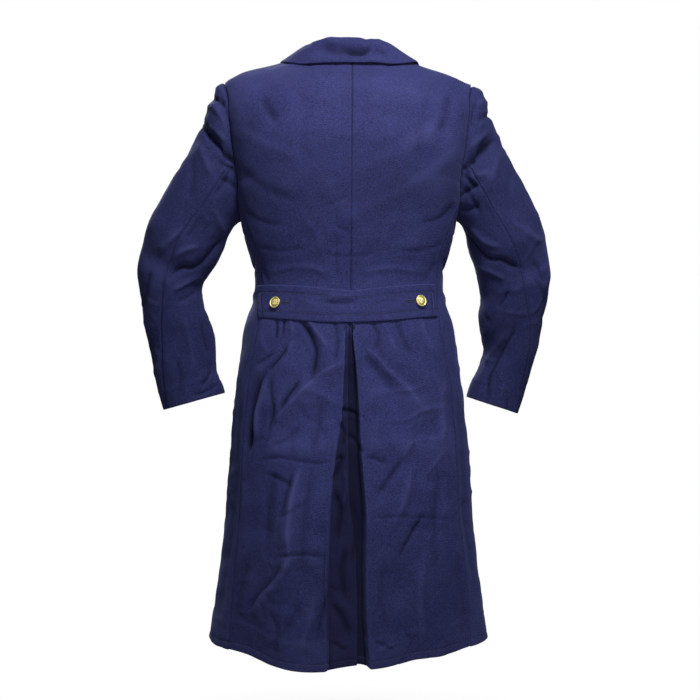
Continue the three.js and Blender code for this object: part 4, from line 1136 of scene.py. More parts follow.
def gilt(name, bright, dark):
    """Gilt brass, rubbed bright on the high parts and dull in the hollows."""
    material, tree, shader = nodes_of(name)
    stain = noise(tree, 420.0, 4.0, 0.6)
    level = weighted(tree, (attribute(tree, "raised"), 0.85), (stain, 0.3))
    colour = mixed(tree, remapped(tree, level, 0.15, 0.85, 0.0, 1.0), dark, bright)
    set_inputs(tree, shader, {
        "Base Color": colour,
        "Metallic": 0.72,
        "Roughness": remapped(tree, stain, 0.3, 0.7, 0.36, 0.52),
        "Normal": bumped(tree, stain, 0.12, 0.0002),
    })
    return material


def floor_material(name, colour, backdrop):
    """A pale floor that fades into the backdrop away from the coat."""
    material, tree, shader = nodes_of(name)
    away = add_node(tree, "ShaderNodeVectorMath", {0: place_in(tree)}, operation="LENGTH")
    fade = remapped(tree, away.outputs["Value"], 0.2, 0.9, 0.0, 1.0, interpolation_type="SMOOTHSTEP")
    speckled = mixed(tree, weighted(tree, (noise(tree, 60.0, 3.0), 0.06)), colour, (0.6, 0.6, 0.6, 1))
    set_inputs(tree, shader, {"Base Color": speckled, "Roughness": 0.9, "Specular IOR Level": 0.1})
    glow = add_node(
        tree, "ShaderNodeEmission", {"Color": backdrop, "Strength": seen_brighter(tree, ROOM_LIGHT)}
    )
    blend = add_node(tree, "ShaderNodeMixShader", {0: fade, 1: shader.outputs[0], 2: glow.outputs[0]})
    tree.links.new(blend.outputs[0], tree.nodes["Material Output"].inputs["Surface"])
    return material


def named_material(name, make, *colours, **settings):
    return bpy.data.materials.get(name) or make(name, *colours, **settings)


def rgb(colour):
    return (*colour[:3], 1.0)


def cloth_material(context):
    c = context.scene.greatcoat_colours
    return named_material("navy_wool_twill", wool, rgb(c.wool), rgb(c.worn_wool), rgb(c.deep_wool))


def belt_material(context):
    c = context.scene.greatcoat_colours
    colours = rgb(c.belt), rgb(c.worn_wool), rgb(c.deep_wool)
    return named_material("navy_belt_wool", wool, *colours, twill=0.0034)


def thread_material(context):
    c = context.scene.greatcoat_colours
    return named_material("navy_thread", thread, rgb(c.thread), rgb(c.deep_wool))


def gilt_material(context):
    c = context.scene.greatcoat_colours
    return named_material("gilt_brass", gilt, rgb(c.gilt), rgb(c.gilt_hollow))


# ---- Settings ----
def metres(name, description, default, **more):
    return bpy.props.FloatProperty(
        name=name, description=description, default=default, unit="LENGTH", precision=4, min=0, **more
    )


def tint(name, description, default):
    return bpy.props.FloatVectorProperty(
        name=name, description=description, default=default, subtype="COLOR", size=3, min=0, max=1
    )


class GreatcoatSizes(bpy.types.PropertyGroup):
    cloth: metres("Cloth", "Thickness of the wool", 0.0025)
    mesh_step: metres("Mesh step", "Distance between points of the cloth behind", 0.003)
    hem_turn: metres("Hem turn", "Height of the cloth turned up inside the hem", 0.05)
    hem_stitch: metres("Hem stitching", "Height of the hem's stitching above its edge", 0.0125)
    belt_stitch: metres("Belt stitching", "Distance of the belt's stitching from its edge", 0.0145)
    stitch: metres("Stitch", "Length of one stitch", 0.0034)
    stitch_width: metres("Stitch width", "Thickness of the sewing thread", 0.0009)
    button: metres("Button", "Diameter of a button", 0.0215)
    buttonhole: metres("Buttonhole", "Length of a worked buttonhole", 0.0165)
    creasing: bpy.props.FloatProperty(
        name="Creasing", description="How deep the creases are", default=1.6, min=0, max=2, subtype="FACTOR"
    )


class GreatcoatColours(bpy.types.PropertyGroup):
    wool: tint("Wool", "The cloth", (0.036, 0.041, 0.152))
    # The colour of rubbed edges, and of the painted highlight on the crests of folds.
    worn_wool: tint("Rubbed wool", "Edges and high folds", (0.085, 0.092, 0.26))
    # The painted shade in hollows, seams, the vent, the inner side and the buttonholes, and the dark of the
    # nap's grain and thread.
    deep_wool: tint("Deep wool", "Hollows and the shadow in the nap", (0.0022, 0.0026, 0.014))
    belt: tint("Belt", "The cloth of the half belt", (0.034, 0.039, 0.145))
    thread: tint("Thread", "Stitching", (0.03, 0.034, 0.115))
    gilt: tint("Gilt", "The bright parts of the buttons", (1.0, 0.88, 0.36))
    gilt_hollow: tint("Gilt hollows", "The dull parts of the buttons", (0.3, 0.2, 0.05))
    floor: tint("Floor", "The floor", (0.94, 0.94, 0.94))
    backdrop: tint("Backdrop", "The room behind", (1.0, 1.0, 1.0))


# ---- Body panels ----
def body_levels(step):
    """Levels of the rows of a body panel, 0 at the shoulder, 1 at the armpit and 2 at the hem."""
    fine = (0.0015, 0.004, 0.008)
    high = spaced(0, 1, step / UPPER_LENGTH, (0, [f * 2 for f in fine]), (SEAM_LEVEL, [0]))
    low = spaced(1, 2, step / LOWER_LENGTH, (2, [-0.001, -0.0022, -0.0035, -0.013, -0.0155, -0.018]))
    return np.concatenate([high, low[1:]])


def hem_relief(height_above, settings):
    """The turned-up cloth inside the hem stands a little proud; its stitching sinks in."""
    turn = settings.hem_turn / MM
    stitch = settings.hem_stitch / MM
    ridge = 0.9 * (1 - smooth(height_above, turn - 5, turn + 3))
    return ridge + 0.7 * bell(height_above - turn, 4) - 0.8 * bell(height_above - stitch, 2)


def make_back(context, side):
    s = context.scene.greatcoat_sizes
    step = s.mesh_step / MM
    near_fold = (-0.004, -0.012, -0.02, -0.028)
    vent_across = spaced(0, VENT_SHARE, VENT_SHARE / 16, (0, (0.002, 0.006, 0.012)), (VENT_SHARE, near_fold))
    panel = spaced(0, 1, step / BACK_WIDTH, (0, (0.004, 0.012)), (1, (-0.002, -0.006, -0.012, -0.018)))
    across = np.concatenate([vent_across, lerp(VENT_SHARE, 1, panel[1:])])
    a, d = np.meshgrid(across, body_levels(step) / 2)
    base = back_point(side, a, d)
    normals = grid_normals(base, side.sign)
    ways = [("behind", BACK_CREASES), ("beside", SIDE_CREASES)]
    height, hollow = with_creases(base, normals, ways, s.creasing)
    from_free, down = lengths_along(base, 1), lengths_along(base, 0)
    from_hem, from_side = down[-1:] - down, from_free[:, -1:] - from_free
    closed = smooth(base[..., 2], *VENT_HEAD)
    vent = 1 - closed
    at_edges = smooth(from_side, 0, 12) * smooth(down, 0, 14)
    at_edges *= 1 - 0.85 * bell((a - VENT_SHARE) * BACK_WIDTH, 9) * vent
    height = height * at_edges + hem_relief(from_hem, s) + 0.7 * (bell(a - VENT_SHARE, 0.02) * vent)
    outer = base + normals * height[..., None]
    normals = grid_normals(outer, side.sign)
    sewn = np.maximum(edge_share(from_side, 5), edge_share(down, 5))
    sewn = np.maximum(sewn, edge_share(from_free, 4) * closed)
    finished = np.maximum(edge_share(from_hem, 3), edge_share(from_free, 3) * vent)
    # Painted shadow on the vent's lower cloth: full on the right, lighter on the left.
    vent_shade = (0.8 if side.name == "left" else 1) * smooth(VENT_SHARE - a, 0.0, 0.03) * vent
    # Painted shade: darker towards the hem and in a band across the middle of the back; crease hollows add
    # more.
    painted_shade = 0.3 * smooth(-base[..., 2], 800, 1010) + 0.3 * bell(base[..., 2] + 265, 80)
    piece = cloth_wall(
        f"back_{side.name}_cloth", outer, normals, s.cloth / MM, finished, sewn, height,
        np.clip(np.maximum(hollow, np.maximum(vent_shade, painted_shade) + 0.35 * hollow), 0, 1), -side.sign,
    )
    finish_piece(piece, cloth_material(context), "wool", f"back_{side.name}")
    return piece


def make_front(context, side):
    s = context.scene.greatcoat_sizes
    step = s.mesh_step / MM * FRONT_COARSENESS
    chest = spaced(0, 1, step / CHEST_WIDTH, (0, (0.002, 0.006, 0.012)), (1, (-0.004, -0.012)))
    beneath = spaced(0, 1, step / BENEATH_WIDTH, (1, (-0.005, -0.015, -0.03)))
    across = np.concatenate([chest * FRONT_SHARE, lerp(FRONT_SHARE, 1, beneath[1:])])
    column = len(chest) - 1
    levels = body_levels(step)
    seam_row = int(np.argmin(np.abs(levels - SEAM_LEVEL)))
    a, d = np.meshgrid(across, levels / 2)
    base = front_point(side, a, d)
    normals = grid_normals(base, -side.sign)
    keep = np.ones((len(levels) - 1, len(across) - 1), bool)
    keep[:seam_row, column:] = False
    ways = [("before", FRONT_CREASES), ("beside", SIDE_CREASES)]
    height, hollow = with_creases(base, normals, ways, s.creasing)
    along, down = lengths_along(base, 1), lengths_along(base, 0)
    from_hem = down[-1:] - down
    to_side = along[:, -1:] - along + FAR * (d * 2 < SEAM_LEVEL)
    to_armhole = np.abs(along[:, column][:, None] - along) + FAR * (d * 2 > SEAM_LEVEL)
    to_underarm = np.where((a > FRONT_SHARE) & (d * 2 >= SEAM_LEVEL), down - down[seam_row], FAR)
    sewn_gap = np.minimum(np.minimum(to_side, to_armhole), np.minimum(down, to_underarm))
    height = height * smooth(sewn_gap, 0, 14) + hem_relief(from_hem, s)
    outer = base + normals * height[..., None]
    normals = grid_normals(outer, -side.sign)
    finished = np.maximum(edge_share(from_hem, 3), edge_share(along, 3))
    # Crease hollows are darkened with painted shade.
    piece = cloth_wall(
        f"front_{side.name}_cloth", outer, normals, s.cloth / MM, finished, edge_share(sewn_gap, 5), height,
        hollow, side.sign, keep,
    )
    finish_piece(piece, cloth_material(context), "wool", f"front_{side.name}")
    return piece


def make_lapel(context, side):
    s = context.scene.greatcoat_sizes
    corners = LAPEL_CORNERS[side.name]
    across = spaced(0, 1, 1 / 26, (0, (0.008, 0.02)), (1, (-0.006, -0.016)))
    down = spaced(0, 1, 1 / 44, (0, (0.006, 0.014)), (1, (-0.006, -0.014)))
    a, d = np.meshgrid(across, down)
    bow = LAPEL_BELLY * np.sin(math.pi * d)
    inner = [lerp(corners["neck"][k], corners["roll"][k], d) for k in (0, 1)]
    outer_line = [
        lerp(corners["point"][0], corners["edge"][0], d) + bow,
        lerp(corners["point"][1], corners["edge"][1], d) - bow,
    ]
    x, z = lerp(inner[0], outer_line[0], a), lerp(inner[1], outer_line[1], a)
    thickness = s.cloth / MM
    base, outward = on_front(side, x, z, 0)
    rise = LAPEL_LIFT + thickness + 2.0 * bell(a, 0.12) + 0.5 * wander(base, 90, 21)
    points = base + outward * rise[..., None]
    normals = grid_normals(points, -side.sign)
    gap = np.minimum(to_ends(lengths_along(points, 1), 1), to_ends(lengths_along(points, 0), 0))
    piece = cloth_wall(
        f"lapel_{side.name}_cloth", points, normals, thickness, edge_share(gap, 3), 0 * gap, 0 * gap, turn=35
    )
    finish_piece(piece, cloth_material(context), "wool", f"lapel_{side.name}")
    return piece


# ---- Sleeves ----
def make_sleeve(context, side, part):
    s = context.scene.greatcoat_sizes
    step = s.mesh_step / MM
    rings = SLEEVE_RINGS[side.name]
    down = spaced(0, 1, step / SLEEVE_LENGTH, (0, (0.0015, 0.004, 0.008)), (1, (-0.0012, -0.003, -0.005)))
    down = np.concatenate([[-0.02, -0.012, -0.004], down])
    fine = (0.003, 0.009, 0.016)
    across = spaced(0, 1, step / SLEEVE_WIDTH[part], (0, fine), (1, [-f for f in fine]))
    a, d = np.meshgrid(across, down)
    ring = np.maximum(d, 0) * LAST_RING
    gap = SEAM_GAP / 2 / SLEEVE_RADIUS / DEGREE
    hind, fore = rings.hind_seam(ring), rings.fore_seam(ring)
    start, end = (fore - 360 + gap, hind - gap) if part == "top" else (hind + gap, fore - gap)
    base = sleeve_point(side, ring, lerp(start, end, a))
    # The seam allowance is turned into the body beyond the armhole's edge.
    tuck = np.clip(-d / 0.02, 0, 1)
    middle = np.array([ARMHOLE_Y, armhole_span(side)[0]])
    base[..., 0] -= side.sign * 6.5 * tuck
    base[..., 1:] = lerp(base[..., 1:], middle, (0.024 * tuck)[..., None])
    facing = -side.sign
    normals = grid_normals(base, facing)
    creases = SLEEVE_LEFT_CREASES if side.name == "left" else SLEEVE_RIGHT_CREASES
    mirrored = tuple(
        (tuple((x if side.name == "left" else 2 * GRID_X - x, z) for x, z in line), *rest)
        for line, *rest in SLEEVE_FRONT_CREASES
    )
    ways = [("behind", creases), ("before", mirrored)]
    height, hollow = with_creases(base, normals, ways, s.creasing, 0.6)
    along, length = lengths_along(base, 1), lengths_along(base, 0)
    to_armhole = np.abs(length - length[3:4])
    seam_gap = np.minimum(to_ends(along, 1), to_armhole)
    height *= smooth(seam_gap, 0, 11) * 0.75 + 0.25 * smooth(to_armhole, 0, 12)
    from_cuff = length[-1:] - length
    # Painted shade: darker over the upper sleeve, and a dark band along the armhole seam; crease hollows add
    # more.
    painted_shade = np.maximum(0.34 * (1 - smooth(length, 230, 420)), 0.95 * edge_share(to_armhole, 7))
    height += 0.6 * bell(from_cuff - CUFF_TURN, 4)
    outer = base + normals * height[..., None]
    normals = grid_normals(outer, facing)
    piece = cloth_wall(
        f"sleeve_{side.name}_{part}_cloth", outer, normals, s.cloth / MM, edge_share(from_cuff, 3),
        edge_share(seam_gap, 5), height, np.maximum(hollow, painted_shade), side.sign,
    )
    finish_piece(piece, cloth_material(context), "wool", f"sleeve_{side.name}_{part}")
    return piece


# ---- Collar and belt ----
def collar_paths(stations):
    side = np.where(stations < 0, -1, 1)
    at = np.abs(stations)
    seam, roll, edge = (
        np.stack([COLLAR.read(f"{part}_{axis}", at) for axis in "xyz"], -1)
        for part in ("seam", "roll", "edge")
    )
    # From its sides to its front ends the fall hangs 3 mm lower than the solid's.
    edge[:, 2] -= 3 * smooth(at, 0.28, 0.55)
    outward = (edge - seam) * [1, 1, 0]
    outward /= np.linalg.norm(outward, axis=-1, keepdims=True)
    up = np.array([0, 0, 1.0])
    shoulder = roll + outward * 10 + COLLAR_SWELL.shoulder(at)[:, None] * up
    spread = lerp(roll, edge, 0.45) + outward * 5 + COLLAR_SWELL.spread(at)[:, None] * up
    paths = np.stack([seam, lerp(seam, roll, 0.55), roll, shoulder, spread, edge], 1)
    paths[..., 0] *= side[:, None]
    return paths


def spline_points(paths, across):
    """Points on smooth curves through each path's points, at shares from 0 to 1."""
    count = paths.shape[1]
    padded = np.concatenate(
        [2 * paths[:, :1] - paths[:, 1:2], paths, 2 * paths[:, -1:] - paths[:, -2:-1]], 1
    )
    place = np.clip(across, 0, 1) * (count - 1)
    k = np.minimum(place.astype(int), count - 2)
    t = (place - k)[None, :, None]
    a, b, c, d = (padded[:, k + n] for n in range(4))
    return curve_between(a, b, c, d, t)


COLLAR_CREASES = (
    (((318, 46.5), (330, 48.5), (345, 50), (358, 51.5), (366, 50), (369, 46)), 19, -8.0, 1.7, 0),
    (((345, 50.5), (356, 52.3), (366, 51.5), (371, 46)), 9, -4.5, 1.5, 0.3),
    (((374, 48), (381, 51), (388, 55)), 10, -3.0, 1.6, 0),
    (((300, 56), (330, 56.5), (360, 57), (392, 60)), 8, 1.6, 1.8, 0),
    (((296, 52), (306, 49), (314, 46)), 7, 1.0, 1.7, 0),
)
ROLL_BUMPS = (
    (((328, 28), (329, 40), (330, 45)), 20, 2.2, 2, 0),
    (((366, 28), (366, 39), (367, 44)), 12, -2.4, 2, 0),
    (((379, 30), (379, 40), (380, 46)), 9, 1.4, 2, 0),
    (((308, 30), (309, 42), (310, 48)), 8, -1.4, 2, 0),
)


def make_collar(context):
    stations = spaced(-1, 1, 1 / 60, (-1, (0.006, 0.015)), (1, (-0.006, -0.015)))
    across = spaced(0, 1, 1 / 44, (0, (0.01,)), (1, (-0.008, -0.02)))
    base = spline_points(collar_paths(stations), across).transpose(1, 0, 2)
    normals = grid_normals(base, 1)
    column, row = seen(base)
    height, hollow = crease_height(COLLAR_CREASES, column, row)
    bumps, _ = crease_height(ROLL_BUMPS, column, row)
    behind = smooth(normals[..., 1], 0, 0.4)
    height = height * behind + bumps * smooth(base[..., 1], 0, 30) + 0.4 * wander(base, 60, 31)
    outer = base + normals * height[..., None]
    normals = grid_normals(outer, 1)
    along, length = lengths_along(outer, 1), lengths_along(outer, 0)
    gap = np.minimum(to_ends(along, 1), length[-1:] - length)
    # The collar's crease hollows, on the side seen from behind, are darkened with painted shade.
    piece = cloth_wall(
        "collar_cloth", outer, normals, COLLAR_CLOTH, edge_share(gap, 3.5), 0 * gap, height,
        np.clip(1.4 * hollow * behind, 0, 0.9), -1,
    )
    finish_piece(piece, cloth_material(context), "wool", "collar")
    return piece


def belt_surface(across, down, outward):
    x = BELT_REACH * np.sin(lerp(BELT_LEFT, BELT_RIGHT, across) * DEGREE) - BELT_SKEW * (down - 0.5)
    z = lerp(BELT_EDGES.top_z(x), BELT_EDGES.bottom_z(x), down)
    return back_at(x, z, outward)


BELT_CREASES = (
    (((321, 301), (338, 302.5), (357, 301)), 7, -2.8, 1.5, 0),
    (((326, 296), (342, 297), (354, 296)), 7, 1.4, 1.7, 0),
    (((300, 298), (312, 304), (322, 306)), 6, 0.9, 1.7, 0),
    (((372, 306), (386, 300), (400, 302)), 6, -0.9, 1.6, 0),
    (((290, 290), (296, 302), (294, 314)), 5, -0.8, 1.6, 0),
    (((352, 288), (350, 300), (352, 318)), 6, 0.8, 1.8, 0),
)


def make_belt(context):
    s = context.scene.greatcoat_sizes
    fine = (0.0015, 0.0045, 0.009)
    across = spaced(0, 1, 1 / 150, (0, fine), (1, [-f for f in fine]))
    down = spaced(0, 1, 1 / 26, (0, (0.012, 0.03)), (1, (-0.012, -0.03)))
    a, d = np.meshgrid(across, down)
    base = belt_surface(a, d, BELT_LIFT + BELT_CLOTH)
    normals = grid_normals(base, -1)
    column, row = seen(base)
    along, length = lengths_along(base, 1), lengths_along(base, 0)
    inset = s.belt_stitch / MM
    end_gap = to_ends(along, 1)
    groove = np.minimum(np.abs(length - inset), np.abs(length[-1:] - length - inset))
    groove = np.minimum(groove, np.abs(end_gap - inset))
    pucker = np.sin(along / 9 + 2 * wander(base, 40, 41)) * bell(groove, 6)
    height, hollow = crease_height(BELT_CREASES, column, row)
    height = height - 0.8 * bell(groove, 1.6) + 0.4 * pucker
    height += 0.35 * wander(base, 60, 43)
    outer = base + normals * height[..., None]
    normals = grid_normals(outer, -1)
    gap = np.minimum(to_ends(length, 0), end_gap)
    # Painted shade in the crease hollows and along the stitching groove.
    hollow = np.clip(1.5 * hollow + 0.5 * bell(groove, 1.8), 0, 0.9)
    piece = cloth_wall(
        "half_belt_cloth", outer, normals, BELT_CLOTH, edge_share(gap, 3), 0 * gap, height, hollow
    )
    finish_piece(piece, belt_material(context), "belting", "back_belt")
    return piece


# ---- Buttons, buttonholes and stitches ----
def turn_to(outward):
    """The axes of something that stands on cloth: across, up and outward."""
    outward = np.asarray(outward, float) / np.linalg.norm(outward)
    across = np.cross((0, 0, 1), outward)
    across /= np.linalg.norm(across)
    return np.stack([across, np.cross(outward, across), outward])


BUTTON_SPOKES = 96
BEADS = 32
LEAVES = 8


def button_mesh(name, radius):
    """A domed face with a raised rim, a ring of beads and an eight-leaved rosette, over a shank."""
    rounds = BUTTON_SPOKES
    turn = np.arange(rounds) * TAU / rounds
    profile = [
        (0.6, 0.6), (1.9, 0.5), (2.2, 1.0), (2.3, 2.2), (radius * 0.55, 2.4), (radius * 0.86, 2.7),
        (radius - 0.35, 3.2), (radius, 3.9), (radius - 0.15, 4.5), (radius - 0.6, 4.95),
        (radius - 1.05, 5.0), (radius - 1.5, 4.75), (radius - 1.8, 4.45),
    ]
    face = np.linspace(radius - 2.0, 0.35, 26)
    rows, raised = [], []
    for r, h in profile:
        rows.append(np.stack([r * np.cos(turn), r * np.sin(turn), np.full(rounds, h)], -1))
        raised.append(np.full(rounds, 1.0 if h > 4.6 else 0.45))
    for r in face:
        share = r / (radius - 2.0)
        dome = 4.35 + 1.15 * (1 - share**2)
        beads = 0.42 * bell(share - 0.86, 0.055) * (0.55 + 0.45 * np.cos(BEADS * turn))
        leaf = np.abs(np.cos(LEAVES / 2 * turn)) ** 0.7
        leaf_end = smooth(share, 0.45 + 0.16 * leaf, 0.62 + 0.12 * leaf)
        petals = 0.55 * leaf * smooth(share, 0.12, 0.22) * (1 - leaf_end)
        boss = 0.5 * (1 - smooth(share, 0.1, 0.2))
        lift = beads + petals + boss
        rows.append(np.stack([r * np.cos(turn), r * np.sin(turn), dome + lift], -1))
        raised.append(np.clip(0.12 + lift * 1.7, 0, 1))
    vertices = np.concatenate(rows)
    count = len(rows)
    faces = ring_faces(count, rounds)
    first, last = len(vertices), len(vertices) + 1
    vertices = np.vstack([vertices, [[0, 0, 0.6]], [[0, 0, rows[-1][0, 2]]]])
    raised = np.concatenate([*raised, [0.4], [1.0]])
    top = (count - 1) * rounds
    for j in range(0, rounds, 2):
        n, m = (j + 1) % rounds, (j + 2) % rounds
        faces.append((first, m, n, j))
        faces.append((last, top + j, top + n, top + m))
    return mesh_from(name, vertices * MM, faces, shares={"raised": raised})


def place_button(context, name, foot, outward, node):
    s = context.scene.greatcoat_sizes
    mesh = button_mesh(name, s.button / MM / 2)
    axes = turn_to(outward)
    points = np.empty(len(mesh.vertices) * 3, np.float32)
    mesh.vertices.foreach_get("co", points)
    placed = points.reshape(-1, 3) @ axes + np.asarray(foot) * MM
    mesh.vertices.foreach_set("co", placed.astype(np.float32).ravel())
    mesh.update()
    return finish_piece(link(name, mesh), gilt_material(context), "gilt", node)


STITCH_SECTION = ((-1, 0), (-0.7, 0.75), (0.7, 0.75), (1, 0))


def stitches(name, path, outward, length, width):
    """A row of short rounded stitches that lie along a path of points in mm."""
    path, outward = np.asarray(path, float), np.asarray(outward, float)
    along = np.concatenate([[0], np.cumsum(np.linalg.norm(np.diff(path, axis=0), axis=1))])
    vertices, faces = [], []
    count = max(int(along[-1] / length), 1)
    for k in range(count):
        ends = (np.array([0.1, 0.3, 0.7, 0.9]) + k) * along[-1] / count
        centre = np.stack([np.interp(ends, along, path[:, i]) for i in range(3)], -1)
        up = np.stack([np.interp(ends, along, outward[:, i]) for i in range(3)], -1)
        way = centre[-1] - centre[0]
        way /= np.linalg.norm(way)
        beside = np.cross(up, way)
        beside /= np.linalg.norm(beside, axis=1, keepdims=True)
        base = len(vertices)
        for n, slim in enumerate((0.35, 1, 1, 0.35)):
            for w, h in STITCH_SECTION:
                rise = h * slim * width * 0.7 - 0.15 * width
                vertices.append(centre[n] + beside[n] * w * slim * width / 2 + up[n] * rise)
        for n in range(3):
            for m in range(3):
                p = base + n * 4 + m
                faces.append((p, p + 1, p + 5, p + 4))
    return link(name, mesh_from(name, np.array(vertices) * MM, faces))


def add_stitches(context, name, path, outward, slot="wool"):
    s = context.scene.greatcoat_sizes
    piece = stitches(name, path, outward, s.stitch / MM, s.stitch_width / MM)
    return finish_piece(piece, thread_material(context), slot)


def on_mesh(piece, points):
    """The nearest points of a piece's surface and the ways it faces there."""
    found, facing = [], []
    for p in points:
        hit, place, normal, _ = piece.closest_point_on_mesh(tuple(np.asarray(p) * MM), distance=STITCH_REACH)
        if not hit:
            raise RuntimeError(f"{piece.name} isn't near {tuple(p)}")
        found.append(np.array(place) / MM)
        facing.append(np.array(normal))
    return np.array(found), np.array(facing)


def buttonhole(context, name, piece, centre):
    """A worked buttonhole: a ring of close stitches on the cloth, in the near-black painted-shade
    colour that stands in for the shade of the slot; no slot is cut.
    """
    s, c = context.scene.greatcoat_sizes, context.scene.greatcoat_colours
    half = s.buttonhole / MM / 2
    turn = np.linspace(0, TAU, 84, endpoint=False)
    place, facing = on_mesh(piece, [centre])
    axes = turn_to(facing[0])
    across, up = np.cos(turn)[:, None] * half, np.sin(turn)[:, None] * HOLE_HALF_HEIGHT
    line = place[0] + across * axes[0] + up * axes[1]
    line, facing = on_mesh(piece, line)
    beside = line - line.mean(0)
    beside -= np.sum(beside * facing, 1, keepdims=True) * facing
    beside /= np.linalg.norm(beside, axis=1, keepdims=True)
    vertices = []
    sides = 8
    for k in range(len(line)):
        thick = 1.0 + 0.28 * (k % 2)
        for j in range(sides):
            t = j * TAU / sides
            rise = math.sin(t) * 0.75 * thick + 0.1
            vertices.append(line[k] + beside[k] * math.cos(t) * thick + facing[k] * rise)
    faces = ring_faces(len(line), sides, closed=True)
    hole = link(name, mesh_from(name, np.array(vertices) * MM, faces))
    # The thread takes the near-black painted-shade colour, so the ring reads as the shaded slot.
    material = named_material("buttonhole_thread", thread, rgb(c.deep_wool), (0, 0, 0, 1))
    return finish_piece(hole, material, "belting")


# ---- Operators ----
class GreatcoatOperator:
    bl_options = {"REGISTER", "UNDO"}


class OBJECT_OT_greatcoat_back(GreatcoatOperator, bpy.types.Operator):
    """Build the two back panels with the centre seam and the vent"""

    bl_idname = "greatcoat.back"
    bl_label = "Back panels"

    def execute(self, context):
        for side in SIDES:
            make_back(context, side)
        return {"FINISHED"}


class OBJECT_OT_greatcoat_fronts(GreatcoatOperator, bpy.types.Operator):
    """Build the two fronts and their lapels"""

    bl_idname = "greatcoat.fronts"
    bl_label = "Fronts and lapels"

    def execute(self, context):
        for side in SIDES:
            make_front(context, side)
            make_lapel(context, side)
        return {"FINISHED"}


class OBJECT_OT_greatcoat_sleeves(GreatcoatOperator, bpy.types.Operator):
    """Build the sleeves, each of a top and an under panel"""

    bl_idname = "greatcoat.sleeves"
    bl_label = "Sleeves"

    def execute(self, context):
        for side in SIDES:
            make_sleeve(context, side, "top")
            make_sleeve(context, side, "under")
        return {"FINISHED"}


class OBJECT_OT_greatcoat_collar(GreatcoatOperator, bpy.types.Operator):
    """Build the turned-down collar"""

    bl_idname = "greatcoat.collar"
    bl_label = "Collar"

    def execute(self, context):
        make_collar(context)
        return {"FINISHED"}


class OBJECT_OT_greatcoat_belt(GreatcoatOperator, bpy.types.Operator):
    """Build the half belt with its stitching and buttonholes"""

    bl_idname = "greatcoat.belt"
    bl_label = "Half belt"

    def execute(self, context):
        s = context.scene.greatcoat_sizes
        belt = make_belt(context)
        inset, end = s.belt_stitch / MM / BELT_WIDTH, s.belt_stitch / MM / BELT_LENGTH
        along, down = np.linspace(end, 1 - end, 160), np.linspace(inset, 1 - inset, 20)
        rows = (
            ("top", along, inset),
            ("bottom", along, 1 - inset),
            ("left", end, down),
            ("right", 1 - end, down),
        )
        for name, across, below in rows:
            line = belt_surface(*np.broadcast_arrays(across, below), BELT_LIFT + BELT_CLOTH)
            line, facing = on_mesh(belt, line)
            add_stitches(context, f"belt_stitching_{name}", line, facing, "belting")
        for hand, (x, z) in BELT_BUTTONS.items():
            inboard = -HOLE_INBOARD if x > 0 else HOLE_INBOARD
            buttonhole(context, f"buttonhole_{hand}", belt, back_at(x + inboard, z, 5))
        return {"FINISHED"}


class OBJECT_OT_greatcoat_buttons(GreatcoatOperator, bpy.types.Operator):
    """Build the gilt buttons of the belt and the front"""

    bl_idname = "greatcoat.buttons"
    bl_label = "Buttons"

    def execute(self, context):
        height = BELT_LIFT + BELT_CLOTH + 0.4
        for hand, (x, z) in BELT_BUTTONS.items():
            foot = back_at(x, z, height)
            along = back_at(x - 1, z, height) - back_at(x + 1, z, height)
            up = back_at(x, z + 1, height) - back_at(x, z - 1, height)
            name = f"belt_button_{hand}"
            place_button(context, f"{name}_gilt", foot, np.cross(along, up), name)
        left = SIDES[0]
        for row, z in enumerate(FRONT_BUTTON_ROWS, 1):
            for hand, sign in (("left", 1), ("right", -1)):
                at = np.array([sign * FRONT_BUTTON_X, 0, z], float)
                foot, outward = on_front(left, at[:1], at[2:], 0.3)
                name = f"front_button_{hand}_{row}"
                place_button(context, f"{name}_gilt", foot[0], outward[0], name)
        return {"FINISHED"}


class OBJECT_OT_greatcoat_stitching(GreatcoatOperator, bpy.types.Operator):
    """Sew the hem of each body panel"""

    bl_idname = "greatcoat.stitching"
    bl_label = "Hem stitching"

    def execute(self, context):
        s = context.scene.greatcoat_sizes
        up = s.hem_stitch / MM / LOWER_LENGTH / 2
        for side in SIDES:
            for name, surface, start in (("back", back_point, 0.02), ("front", front_point, 0.01)):
                share = np.linspace(start, 0.995, 160)
                line = surface(side, share, np.full(len(share), 1 - up))
                line, facing = on_mesh(bpy.data.objects[f"{name}_{side.name}_cloth"], line)
                add_stitches(context, f"hem_stitching_{name}_{side.name}", line, facing)
        return {"FINISHED"}


def area_light(name, place, target, size, power):
    lamp = bpy.data.lights.new(name, "AREA")
    lamp.shape, lamp.size, lamp.size_y = "RECTANGLE", size[0], size[1]
    lamp.energy = power
    light = bpy.data.objects.new(name, lamp)
    bpy.context.scene.collection.objects.link(light)
    light.location = place
    way = np.array(target, float) - np.array(place, float)
    light.rotation_euler = Vector(way).to_track_quat("-Z", "Y").to_euler()
    return light


def room(context, colour):
    """A white room that is seen bright and lights the coat more softly."""
    world = context.scene.world or bpy.data.worlds.new("room")
    context.scene.world = world
    world.use_nodes = True
    tree = world.node_tree
    background = tree.nodes["Background"]
    background.inputs["Color"].default_value = colour
    tree.links.new(seen_brighter(tree, ROOM_LIGHT), background.inputs["Strength"])


